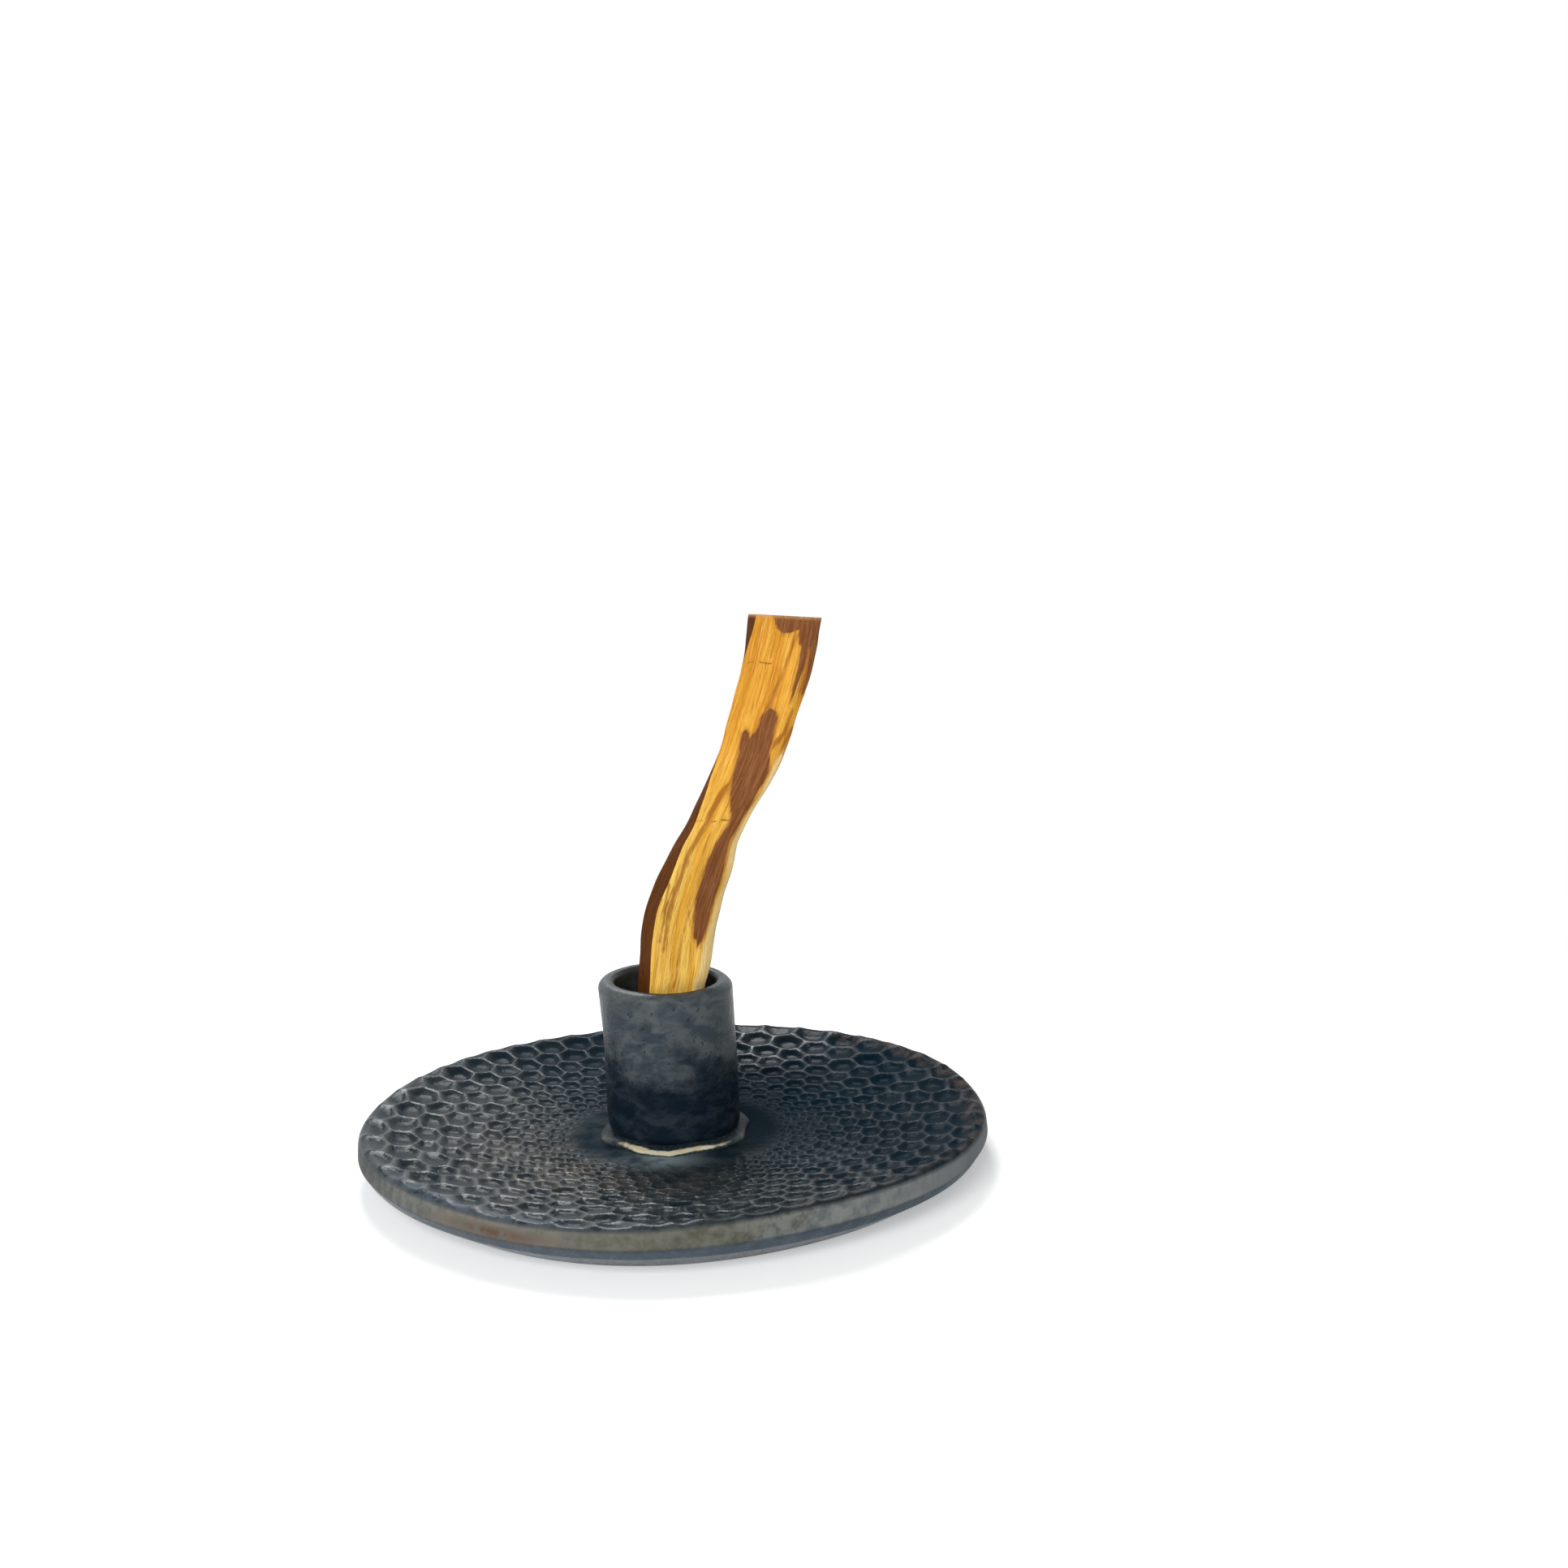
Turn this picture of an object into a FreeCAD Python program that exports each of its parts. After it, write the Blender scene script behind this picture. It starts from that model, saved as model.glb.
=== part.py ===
import FreeCAD, Part
import math
import os
import Sketcher

# Incense burner: a stoneware dish with a holder cup luted to its middle and a split
# stick of incense wood standing loose in the cup. Millimetres, +Z up. The origin is on
# the cup's axis, in the plane that the foot of the dish stands on.

doc = FreeCAD.newDocument("IncenseBurner")

# Driving dimensions: alias, value in millimetres, degrees or a count, and what it sets
DIMENSIONS = [
    ("rim_radius", 63.1, "dish, outer edge at its widest"),
    ("rim_height", 11.2, "dish, top of the rim"),
    ("rim_draft", 0.5, "dish, how far the edge band leans in towards the top"),
    ("rim_round", 1.9, "dish, rounding of the rim"),
    ("rim_land", 0.5, "dish, flat between the rounding of the rim and the honeycomb"),
    ("bevel_height", 4.4, "dish, height of the undercut below the edge band"),
    ("bevel_width", 7.5, "dish, how far the undercut goes in to the foot"),
    ("belly_chamfer", 1.5, "dish, facet between the undercut and the edge band"),
    ("floor_height", 5.2, "dish, height of the flat floor under the cup"),
    ("well_curve", 1.66, "dish, power of the radius by which the well rises"),
    ("comb_cells", 48, "honeycomb, cells in each ring"),
    ("comb_reach", 0.91, "honeycomb, reach of its first ring as a share of the rim's radius"),
    ("comb_step", 0.099, "honeycomb, how much smaller the next ring is, as a logarithm"),
    ("comb_right", 1.1, "honeycomb, its middle to the right of the cup"),
    ("comb_front", 4.0, "honeycomb, its middle in front of the cup"),
    ("comb_stretch", 1.13, "honeycomb, its length over its width"),
    ("comb_turn", 117.0, "honeycomb, direction in which it is stretched, in degrees"),
    ("comb_drift", 0.33, "honeycomb, most that its rings are shifted round, in cells"),
    ("drift_turn", 155.0, "honeycomb, direction in which the shift is greatest, in degrees"),
    ("drift_reach", 35.0, "honeycomb, turn over which the shift fades, in degrees"),
    ("comb_trim", 0.3, "honeycomb, corners nearer to a border than this are moved onto it"),
    ("comb_depth", 0.152, "honeycomb, depth of a cell as a share of its width"),
    ("comb_floor", 0.45, "honeycomb, width of a cell's floor as a share of the cell"),
    ("floor_cell", 4.3, "honeycomb, least width of a cell that has a flat floor"),
    ("rim_share", 0.2, "honeycomb, share of its depth that a cell keeps at the rim"),
    ("rim_fade", 3.5, "honeycomb, width over which the cells grow shallow towards the rim"),
    ("collar_margin", 3.4, "honeycomb, smooth floor left round the slip bead"),
    ("collar_fade", 6.0, "honeycomb, width over which the cells grow shallow towards the cup"),
    ("cup_radius", 13.35, "cup, outside"),
    ("cup_wall", 3.35, "cup, wall"),
    ("cup_height", 31.4, "cup, from the floor to the top of the lip"),
    ("lip_round", 1.6, "cup, rounding of the lip outside"),
    ("lip_chamfer", 1.1, "cup, softened edge of the lip inside"),
    ("cup_foot_chamfer", 1.4, "cup, softened edge of the foot outside"),
    ("outside_share", 0.6, "cup, most of the wall that a softened edge outside takes"),
    ("inside_share", 0.35, "cup, most of the wall that a softened edge inside takes"),
    ("slip_sides", 6, "slip bead, flats that the tool left round the cup"),
    ("slip_width", 0.9, "slip bead, least width, at the middle of a flat"),
    ("slip_height", 1.5, "slip bead, height against the cup"),
    ("slip_slope", 30.0, "slip bead, lean of its flats from the upright, in degrees"),
    ("slip_turn", 14.0, "slip bead, turn of its first corner past the front, in degrees"),
    ("slip_round", 1.2, "slip bead, rounding of its corners"),
    ("slip_gap", 0.1, "slip bead, clearance to the cup"),
    ("stick_length", 103.2, "stick, from end to end, upright"),
    ("stick_depth", 8.0, "stick, from front to back"),
    ("stick_turn", 16.0, "stick, turn of its broad face to the right, in degrees"),
    ("stick_play", 0.5, "stick, clearance of its front corners in the cup"),
    ("stick_seat", 0.2, "stick, clearance of its foot to the floor"),
    ("stick_lip_margin", 2.0, "stick, straight stretch above the lip of the cup"),
    ("foot_width", 11.4, "stick, width of its straight stretch in the cup"),
    ("end_width", 12.2, "stick, width at its upper end"),
    ("stick_lean", 10.5, "stick, steady sideways travel from the lip to the upper end"),
    ("stick_swing", 13.4, "stick, sideways travel added by its S-bend"),
    ("swing_start", 0.09, "stick, share of the bent stretch where the S-bend starts"),
    ("swing_end", 0.92, "stick, share of the bent stretch where the S-bend ends"),
    ("knee_bulge", 2.0, "stick, extra width at the knee below the S-bend"),
    ("knee_place", 0.21, "stick, share of the bent stretch at the knee"),
    ("waist_draw", 3.1, "stick, width lost at the waist"),
    ("waist_place", 0.43, "stick, share of the bent stretch at the waist"),
    ("swell_reach", 0.17, "stick, share of the bent stretch over which a swelling fades"),
]
BENT_SECTIONS = 12  # level sections of the stick above the cup
CREST_CUTS = 3  # straight cuts that round the rim

sheet = doc.addObject("Spreadsheet::Sheet", "Sizes")


def put_cell(row, alias, value, note):
    """One driving dimension: its note in column A and its value, with an alias, in B."""
    sheet.set(f"A{row}", note)
    sheet.set(f"B{row}", str(value))
    sheet.setAlias(f"B{row}", alias)


for number, (alias, value, note) in enumerate(DIMENSIONS, start=1):
    put_cell(number, alias, value, note)
doc.recompute()


def size(alias):
    """The number in a cell of the sheet."""
    return float(getattr(sheet, alias))


# Sizes that several pieces share, as expressions on the sheet
FOOT_RADIUS = "(Sizes.rim_radius - Sizes.bevel_width)"
SLIP_BORE = "(Sizes.cup_radius + Sizes.slip_gap)"
SLIP_CORNER = f"(({SLIP_BORE} + Sizes.slip_width) / cos(180 deg / Sizes.slip_sides))"
COLLAR_RADIUS = f"({SLIP_CORNER} + Sizes.collar_margin)"
STICK_REACH = "(Sizes.cup_radius - Sizes.cup_wall - Sizes.stick_play)"
STICK_SETBACK = f"(sqrt({STICK_REACH}^2 - (Sizes.foot_width / 2)^2) - Sizes.stick_depth / 2)"


# Sketch and feature helpers
def new_body(label):
    body = doc.addObject("PartDesign::Body", label)
    body.Label = label
    return body


def new_sketch(body, name, plane):
    """An empty sketch on one of the body's own origin planes, named by its role."""
    sketch = body.newObject("Sketcher::SketchObject", name)
    for feature in body.Origin.OriginFeatures:
        if feature.Role == plane:
            sketch.AttachmentSupport = [(feature, "")]
    sketch.MapMode = "FlatFace"
    return sketch


def bind(sketch, constraint, name, expression):
    """Adds a dimension to the sketch and ties it to the sheet."""
    index = sketch.addConstraint(constraint)
    sketch.renameConstraint(index, name)
    sketch.setExpression(f"Constraints.{name}", expression)


def draw_chain(sketch, points):
    """Closed chain of straight lines through the points, with their ends joined."""
    count = len(points)
    for index in range(count):
        start = FreeCAD.Vector(*points[index], 0)
        finish = FreeCAD.Vector(*points[(index + 1) % count], 0)
        sketch.addGeometry(Part.LineSegment(start, finish))
    for index in range(count):
        following = (index + 1) % count
        sketch.addConstraint(Sketcher.Constraint("Coincident", index, 2, following, 1))


def place_point(sketch, line, across, up, name):
    """Ties the start of a line to distances from the sketch's origin."""
    if across is not None:
        constraint = Sketcher.Constraint("DistanceX", -1, 1, line, 1, size_now(across))
        bind(sketch, constraint, f"{name}_across", across)
    if up is not None:
        constraint = Sketcher.Constraint("DistanceY", -1, 1, line, 1, size_now(up))
        bind(sketch, constraint, f"{name}_up", up)


def size_now(expression):
    """The present value of an expression on the sheet."""
    value = sheet.evalExpression(expression)
    return float(getattr(value, "Value", value))


def revolve(body, sketch, name):
    feature = body.newObject("PartDesign::Revolution", name)
    feature.Profile = sketch
    feature.ReferenceAxis = (sketch, ["V_Axis"])
    feature.Angle = 360.0
    doc.recompute()
    return feature


def edge_names(feature, wanted):
    """Names of the feature's edges that the test picks out."""
    numbered = enumerate(feature.Shape.Edges, start=1)
    return [f"Edge{number}" for number, edge in numbered if wanted(edge)]


def round_edges(body, feature, name, radius, wanted):
    fillet = body.newObject("PartDesign::Fillet", name)
    fillet.Base = (feature, edge_names(feature, wanted))
    fillet.setExpression("Radius", radius)
    doc.recompute()
    return fillet


def chamfer_edges(body, feature, name, width, wanted):
    chamfer = body.newObject("PartDesign::Chamfer", name)
    chamfer.Base = (feature, edge_names(feature, wanted))
    chamfer.setExpression("Size", width)
    doc.recompute()
    return chamfer


def circle_at(radius, height):
    """Test for a whole circle of this radius at this height about the Z axis."""
    def wanted(edge):
        curve = edge.Curve
        if not isinstance(curve, Part.Circle):
            return False
        return math.isclose(curve.Radius, radius, abs_tol=1e-4) and math.isclose(
            curve.Center.z, height, abs_tol=1e-4)
    return wanted


# Dish: a turned outside and a well pressed with a honeycomb, closed into one solid
SYMMETRY_AXIS = FreeCAD.Vector(0, 0, 1)
ORIGIN = FreeCAD.Vector(0, 0, 0)

# Rings of six-sided cells, each ring turned by half a cell against the next. The cells shrink
# in step with their distance from the honeycomb's middle, so that they keep their shape from
# the rim to the smooth collar. The corners of the cells stand on lines that run outwards,
# two for each cell of a ring, at levels counted in thirds of the step between two rings.
cells = int(size("comb_cells"))
lines = 2 * cells
cell_angle = 2 * math.pi / cells
comb_middle = FreeCAD.Vector(size("comb_right"), -size("comb_front"), 0)
first_ring = size("comb_reach") * size("rim_radius")
land_radius = size("rim_radius") - size("rim_draft") - size("rim_round")
comb_radius = land_radius - size("rim_land")
collar_radius = size_now(COLLAR_RADIUS)
THIRDS = 3
CELL_CORNERS = [(2, 0), (1, 1), (-1, 1), (-2, 0), (-1, -1), (1, -1)]  # levels up, lines across


def line_heading(line):
    """Direction of a line of corners, longer where the honeycomb is stretched."""
    turn = line * cell_angle / 2
    drift_turn = math.radians(size("drift_turn"))
    away = (turn - drift_turn + math.pi) % (2 * math.pi) - math.pi
    drift = size("comb_drift") * math.exp(-(away / math.radians(size("drift_reach"))) ** 2)
    stretch_turn = math.radians(size("comb_turn"))
    turn -= drift * cell_angle + stretch_turn
    pull = math.sqrt(size("comb_stretch"))
    lengthwise = FreeCAD.Vector(math.cos(stretch_turn), math.sin(stretch_turn), 0)
    crosswise = FreeCAD.Vector(-math.sin(stretch_turn), math.cos(stretch_turn), 0)
    return lengthwise * math.cos(turn) * pull + crosswise * math.sin(turn) / pull


def reach_to(radius, heading):
    """How many lengths of the heading lead from the honeycomb's middle to this radius."""
    square = heading.dot(heading)
    half = comb_middle.dot(heading)
    rest = comb_middle.dot(comb_middle) - radius ** 2
    return (math.sqrt(half ** 2 - square * rest) - half) / square


def level_of(reach):
    return THIRDS * math.log(reach / first_ring) / size("comb_step")


headings = [line_heading(line) for line in range(lines)]
collar_reach = [reach_to(collar_radius, heading) for heading in headings]
rim_reach = [reach_to(comb_radius, heading) for heading in headings]
collar_level = [math.floor(level_of(reach + size("comb_trim"))) for reach in collar_reach]
rim_level = [math.ceil(level_of(reach - size("comb_trim"))) for reach in rim_reach]


def well_height(radius):
    """Height of the ridges between the cells: level with the floor at the collar."""
    share = (radius - collar_radius) / (comb_radius - collar_radius)
    share = min(max(share, 0), 1)
    rise = size("rim_height") - size("floor_height")
    return size("floor_height") + rise * share ** size("well_curve")


def corner_point(line, level):
    """A corner on the ridges, held between the collar and the rim."""
    reach = first_ring * math.exp(level * size("comb_step") / THIRDS)
    if level == collar_level[line]:
        reach = collar_reach[line]
    if level == rim_level[line]:
        reach = rim_reach[line]
    point = comb_middle + headings[line] * reach
    point.z = well_height(point.Length)
    return point


def cell_outline(ring, middle_line):
    """Corners of a cell that the collar and the rim leave, without repeats and spikes."""
    corners = []
    for up, across in CELL_CORNERS:
        line = (middle_line + across) % lines
        level = min(max(THIRDS * ring + up, collar_level[line]), rim_level[line])
        corners.append((line, level))
    index = 0
    while index < len(corners) and len(corners) > 2:
        before = corners[index - 1]
        after = corners[(index + 1) % len(corners)]
        if corners[index] == before or before == after:
            del corners[index]
            index = 0
        else:
            index += 1
    return corners


def eased(share):
    """Smooth rise from 0 to 1."""
    share = min(max(share, 0), 1)
    return share ** 2 * (3 - 2 * share)


def flat_face(points):
    return Part.Face(Part.makePolygon(points + points[:1]))


def cell_faces(ring, middle_line):
    """One cell: triangles down to its deepest point, or round a flat floor in a wide whole cell."""
    outline = cell_outline(ring, middle_line)
    if len(outline) < 3:
        return []
    corners = [corner_point(line, level) for line, level in outline]
    count = len(corners)
    centre = FreeCAD.Vector(0, 0, 0)
    for corner in corners:
        centre += corner / count
    radius = math.hypot(centre.x, centre.y)
    width = first_ring * math.exp(ring * size("comb_step")) * cell_angle
    rim_ease = eased((comb_radius - radius) / size("rim_fade"))
    depth = size("comb_depth") * width * (size("rim_share") + (1 - size("rim_share")) * rim_ease)
    depth *= eased((radius - collar_radius) / size("collar_fade"))
    centre.z = well_height(radius) - depth
    whole = all(collar_level[line] < level < rim_level[line] for line, level in outline)
    faces = []
    if not whole or width < size("floor_cell"):
        for corner, following in zip(corners, corners[1:] + corners[:1]):
            faces.append(flat_face([corner, following, centre]))
        return faces
    outwards = FreeCAD.Vector(centre.x / radius, centre.y / radius, 0)
    slope = (well_height(radius + width / 2) - well_height(radius - width / 2)) / width
    floor = []
    for corner in corners:
        point = centre + (corner - centre) * size("comb_floor")
        point.z = centre.z + slope * (point - centre).dot(outwards)
        floor.append(point)
    faces.append(flat_face(floor))
    for index in range(count):
        following = (index + 1) % count
        faces.append(flat_face([corners[index], corners[following], floor[index]]))
        faces.append(flat_face([corners[following], floor[following], floor[index]]))
    return faces


innermost = math.floor(min(collar_level) / THIRDS)
outermost = math.ceil(max(rim_level) / THIRDS)
comb_faces = []
for ring in range(innermost, outermost + 1):
    for column in range(cells):
        comb_faces.extend(cell_faces(ring, 2 * column + ring % 2))
rim_border = [corner_point(line, rim_level[line]) for line in range(lines)]
floor_border = [corner_point(line, collar_level[line]) for line in range(lines)]

# The outside, from the sole to the flat land inside the rim
foot = size_now(FOOT_RADIUS)
bevel_slope = math.atan2(size("bevel_height"), size("bevel_width"))
belly_inner = size("rim_radius") - size("belly_chamfer") * math.cos(bevel_slope)
belly_lower = size("bevel_height") - size("belly_chamfer") * math.sin(bevel_slope)
belly_upper = size("bevel_height") + size("belly_chamfer")
band_top = size("rim_height") - size("rim_round")
sole_edge = FreeCAD.Vector(foot, 0, 0)
belly_start = FreeCAD.Vector(belly_inner, 0, belly_lower)
belly_end = FreeCAD.Vector(size("rim_radius"), 0, belly_upper)
crest = []
for cut in range(CREST_CUTS + 1):
    turn = math.pi / 2 * cut / CREST_CUTS
    out, up = size("rim_round") * math.cos(turn), size("rim_round") * math.sin(turn)
    crest.append(FreeCAD.Vector(land_radius + out, 0, band_top + up))
outside = Part.makePolygon([sole_edge, belly_start, belly_end] + crest)
turned = outside.revolve(ORIGIN, SYMMETRY_AXIS, 360)
sole = Part.Face(Part.Wire(Part.makeCircle(foot, ORIGIN, SYMMETRY_AXIS)))
land_circle = Part.makeCircle(land_radius, FreeCAD.Vector(0, 0, size("rim_height")), SYMMETRY_AXIS)
land_borders = [Part.Wire(land_circle), Part.makePolygon(rim_border + rim_border[:1])]
land = Part.makeFace(land_borders, "Part::FaceMakerBullseye")
dish_shell = Part.Shell(turned.Faces + [sole, land, flat_face(floor_border)] + comb_faces)
dish_shell.sewShape()
dish_solid = Part.makeSolid(dish_shell)
if dish_solid.Volume < 0:
    dish_solid.reverse()
dish = doc.addObject("Part::Feature", "dish")
dish.Label = "dish"
dish.Shape = dish_solid
dish.Placement = FreeCAD.Placement()

# Holder cup: an open tube that stands on the floor of the dish
cup = new_body("holder_cup")
wall = new_sketch(cup, "CupWall", "XZ_Plane")
bore = size("cup_radius") - size("cup_wall")
cup_foot = size("floor_height")
cup_top = cup_foot + size("cup_height")
BORE_RADIUS = "(Sizes.cup_radius - Sizes.cup_wall)"
CUP_TOP = "(Sizes.floor_height + Sizes.cup_height)"
cup_outside = size("cup_radius")
draw_chain(wall, [(bore, cup_foot), (cup_outside, cup_foot), (cup_outside, cup_top), (bore, cup_top)])
for line in (0, 2):
    wall.addConstraint(Sketcher.Constraint("Horizontal", line))
for line in (1, 3):
    wall.addConstraint(Sketcher.Constraint("Vertical", line))
place_point(wall, 0, BORE_RADIUS, "Sizes.floor_height", "bore")
place_point(wall, 2, "Sizes.cup_radius", CUP_TOP, "lip")
tube = revolve(cup, wall, "CupTurned")
LIP_ROUND = "min(Sizes.lip_round; Sizes.outside_share * Sizes.cup_wall)"
LIP_CHAMFER = "min(Sizes.lip_chamfer; Sizes.inside_share * Sizes.cup_wall)"
FOOT_CHAMFER = "min(Sizes.cup_foot_chamfer; Sizes.outside_share * Sizes.cup_wall)"
rounded_lip = round_edges(cup, tube, "LipRounding", LIP_ROUND, circle_at(cup_outside, cup_top))
softened_lip = chamfer_edges(cup, rounded_lip, "LipChamfer", LIP_CHAMFER, circle_at(bore, cup_top))
chamfer_edges(cup, softened_lip, "FootChamfer", FOOT_CHAMFER, circle_at(cup_outside, cup_foot))

# Slip bead: a low faceted collar round the foot of the cup
bead = new_body("slip_bead")
sides = int(size("slip_sides"))
flats = new_sketch(bead, "SlipFlats", "XY_Plane")
flats.setExpression("AttachmentOffset.Base.z", "Sizes.floor_height")
flats.setExpression("AttachmentOffset.Rotation.Angle", "-Sizes.slip_turn")
corner_radius = size_now(SLIP_CORNER)
FRONT = -math.pi / 2
outline = []
for index in range(sides):
    angle = FRONT + 2 * math.pi * index / sides
    outline.append((corner_radius * math.cos(angle), corner_radius * math.sin(angle)))
draw_chain(flats, outline)
guide = flats.addGeometry(Part.Circle(ORIGIN, SYMMETRY_AXIS, corner_radius), True)
flats.addConstraint(Sketcher.Constraint("Coincident", guide, 3, -1, 1))
for index in range(sides):
    flats.addConstraint(Sketcher.Constraint("PointOnObject", index, 1, guide))
for index in range(1, sides):
    flats.addConstraint(Sketcher.Constraint("Equal", 0, index))
flats.addConstraint(Sketcher.Constraint("PointOnObject", 0, 1, -2))
bind(flats, Sketcher.Constraint("Radius", guide, corner_radius), "corner_radius", SLIP_CORNER)
pad = bead.newObject("PartDesign::Pad", "SlipPad")
pad.Profile = flats
pad.setExpression("Length", "Sizes.slip_height")
pad.setExpression("TaperAngle", "-Sizes.slip_slope")
doc.recompute()


def slanted_edge(edge):
    return edge.BoundBox.ZLength > size("slip_height") / 2


round_edges(bead, pad, "SlipCorners", "Sizes.slip_round", slanted_edge)
hole = new_sketch(bead, "SlipBore", "XY_Plane")
hole.setExpression("AttachmentOffset.Base.z", "Sizes.floor_height")
hole_radius = size_now(SLIP_BORE)
hole.addGeometry(Part.Circle(ORIGIN, SYMMETRY_AXIS, hole_radius))
hole.addConstraint(Sketcher.Constraint("Coincident", 0, 3, -1, 1))
bind(hole, Sketcher.Constraint("Radius", 0, hole_radius), "bore_radius", SLIP_BORE)
pocket = bead.newObject("PartDesign::Pocket", "SlipThrough")
pocket.Profile = hole
pocket.Type = "ThroughAll"
pocket.Reversed = True
doc.recompute()
if pocket.Shape.Volume > pad.Shape.Volume / 2:
    raise RuntimeError("the bore of the slip bead cut nothing")

# Stick: a loft through level sections, straight in the cup and bent above it
stick = new_body("palo_santo_stick")
FOOT_X = f"({STICK_SETBACK} * sin(Sizes.stick_turn * 1 deg))"
FOOT_Y = f"(-{STICK_SETBACK} * cos(Sizes.stick_turn * 1 deg))"
FOOT_Z = "(Sizes.floor_height + Sizes.stick_seat)"


def stick_section(name, height, travel, width):
    """A level rectangle at a height above the stick's foot, moved sideways by the travel."""
    section = new_sketch(stick, name, "XY_Plane")
    half_width = size_now(width) / 2
    half_depth = size("stick_depth") / 2
    draw_chain(section, [(-half_width, -half_depth), (half_width, -half_depth),
                         (half_width, half_depth), (-half_width, half_depth)])
    for line in (0, 2):
        section.addConstraint(Sketcher.Constraint("Horizontal", line))
    for line in (1, 3):
        section.addConstraint(Sketcher.Constraint("Vertical", line))
    section.addConstraint(Sketcher.Constraint("Symmetric", 0, 1, 2, 1, -1, 1))
    across = Sketcher.Constraint("DistanceX", 0, 1, 0, 2, 2 * half_width)
    deep = Sketcher.Constraint("DistanceY", 1, 1, 1, 2, 2 * half_depth)
    bind(section, across, "width", width)
    bind(section, deep, "depth", "Sizes.stick_depth")
    section.setExpression("AttachmentOffset.Base.x", f"{FOOT_X} + {travel}")
    section.setExpression("AttachmentOffset.Base.y", FOOT_Y)
    section.setExpression("AttachmentOffset.Base.z", f"{FOOT_Z} + {height}")
    section.setExpression("AttachmentOffset.Rotation.Angle", "Sizes.stick_turn")
    return section


def swell(share, place):
    """Expression of a soft bump, 1 at its place along the bent stretch."""
    return f"exp(-((({share} - {place}) / Sizes.swell_reach)^2))"


STRAIGHT = "(Sizes.cup_height + Sizes.stick_lip_margin)"
sections = [stick_section("StickFoot", "0", "0", "Sizes.foot_width")]
for number in range(BENT_SECTIONS + 1):
    share = f"({number} / {BENT_SECTIONS})"
    height = f"{STRAIGHT} + (Sizes.stick_length - {STRAIGHT}) * {share}"
    swung = f"min(max(({share} - Sizes.swing_start) / (Sizes.swing_end - Sizes.swing_start); 0); 1)"
    travel = f"Sizes.stick_lean * {share} + Sizes.stick_swing * ({swung}^2 * (3 - 2 * {swung}))"
    plain_width = f"Sizes.foot_width + (Sizes.end_width - Sizes.foot_width) * {share}"
    knee = f"Sizes.knee_bulge * {swell(share, 'Sizes.knee_place')}"
    waist = f"Sizes.waist_draw * {swell(share, 'Sizes.waist_place')}"
    width = f"{plain_width} + {knee} - {waist}"
    if number == 0:
        width = "Sizes.foot_width"
    sections.append(stick_section(f"StickSection{number}", height, travel, width))
loft = stick.newObject("PartDesign::AdditiveLoft", "StickLoft")
loft.Profile = sections[0]
loft.Sections = sections[1:]
loft.Ruled = True
doc.recompute()

# Every object has to be sound before anything is written
for thing in doc.Objects:
    if "Invalid" in thing.State or "Error" in thing.State:
        raise RuntimeError(f"{thing.Label} failed: {thing.State}")

os.makedirs("parts", exist_ok=True)
for piece in (dish, cup, bead, stick):
    if piece.Shape.isNull() or not piece.Shape.isValid():
        raise RuntimeError(f"{piece.Label} has no sound shape")
    piece.Shape.exportStep(f"parts/{piece.Label}.step")
    box = piece.Shape.optimalBoundingBox()
    print(piece.Label, "solids", len(piece.Shape.Solids), "volume", round(piece.Shape.Volume),
          "from", [round(value, 2) for value in (box.XMin, box.YMin, box.ZMin)],
          "to", [round(value, 2) for value in (box.XMax, box.YMax, box.ZMax)])
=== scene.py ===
import math

import bpy
import numpy as np
from mathutils import Matrix, Vector


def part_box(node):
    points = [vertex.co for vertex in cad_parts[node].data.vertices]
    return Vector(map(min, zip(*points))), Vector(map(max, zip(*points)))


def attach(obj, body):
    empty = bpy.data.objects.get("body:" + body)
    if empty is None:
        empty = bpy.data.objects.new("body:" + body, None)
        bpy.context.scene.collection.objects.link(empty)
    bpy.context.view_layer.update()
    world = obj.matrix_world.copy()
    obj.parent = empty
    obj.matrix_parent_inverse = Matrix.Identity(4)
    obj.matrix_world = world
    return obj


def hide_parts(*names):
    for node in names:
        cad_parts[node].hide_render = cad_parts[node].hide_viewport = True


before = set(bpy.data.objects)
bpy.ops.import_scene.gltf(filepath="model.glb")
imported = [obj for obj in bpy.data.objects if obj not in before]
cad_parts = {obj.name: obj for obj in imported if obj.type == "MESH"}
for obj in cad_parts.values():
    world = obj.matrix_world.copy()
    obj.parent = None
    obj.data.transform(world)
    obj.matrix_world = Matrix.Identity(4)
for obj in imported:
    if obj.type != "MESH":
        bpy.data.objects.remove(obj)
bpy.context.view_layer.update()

# The looks of an incense burner: a hand-pressed dish in dark satin glaze, a holder cup luted
# to its middle with a bead of slip, and a split stick of incense wood. Sizes are written in
# millimetres, and MM turns them into the frame's metres.
MM = 0.001
EYE = Vector((0.0, -312.25, 109.89))  # where the camera stands


def node_box(node):
    """Lowest and highest corner of a CAD node, in millimetres."""
    low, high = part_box(node)
    return np.array(low) / MM, np.array(high) / MM


_, dish_high = node_box("dish")
cup_low, cup_high = node_box("holder_cup")
stick_low, stick_high = node_box("palo_santo_stick")
RIM_RADIUS = dish_high[0]
RIM_HEIGHT = dish_high[2]
FLOOR_HEIGHT = cup_low[2]
CUP_RADIUS = cup_high[0]
CUP_TOP = cup_high[2]
STICK_FOOT = stick_low[2]
STICK_TOP = stick_high[2]


# Shared maths
def smooth_step(low, high, value):
    """0 up to low and 1 from high on, with a soft rise between."""
    share = np.clip((value - low) / (high - low), 0, 1)
    return share * share * (3 - 2 * share)


def bump(value, middle, reach):
    """A soft hill, 1 at its middle."""
    return np.exp(-((value - middle) / reach) ** 2)


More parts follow.
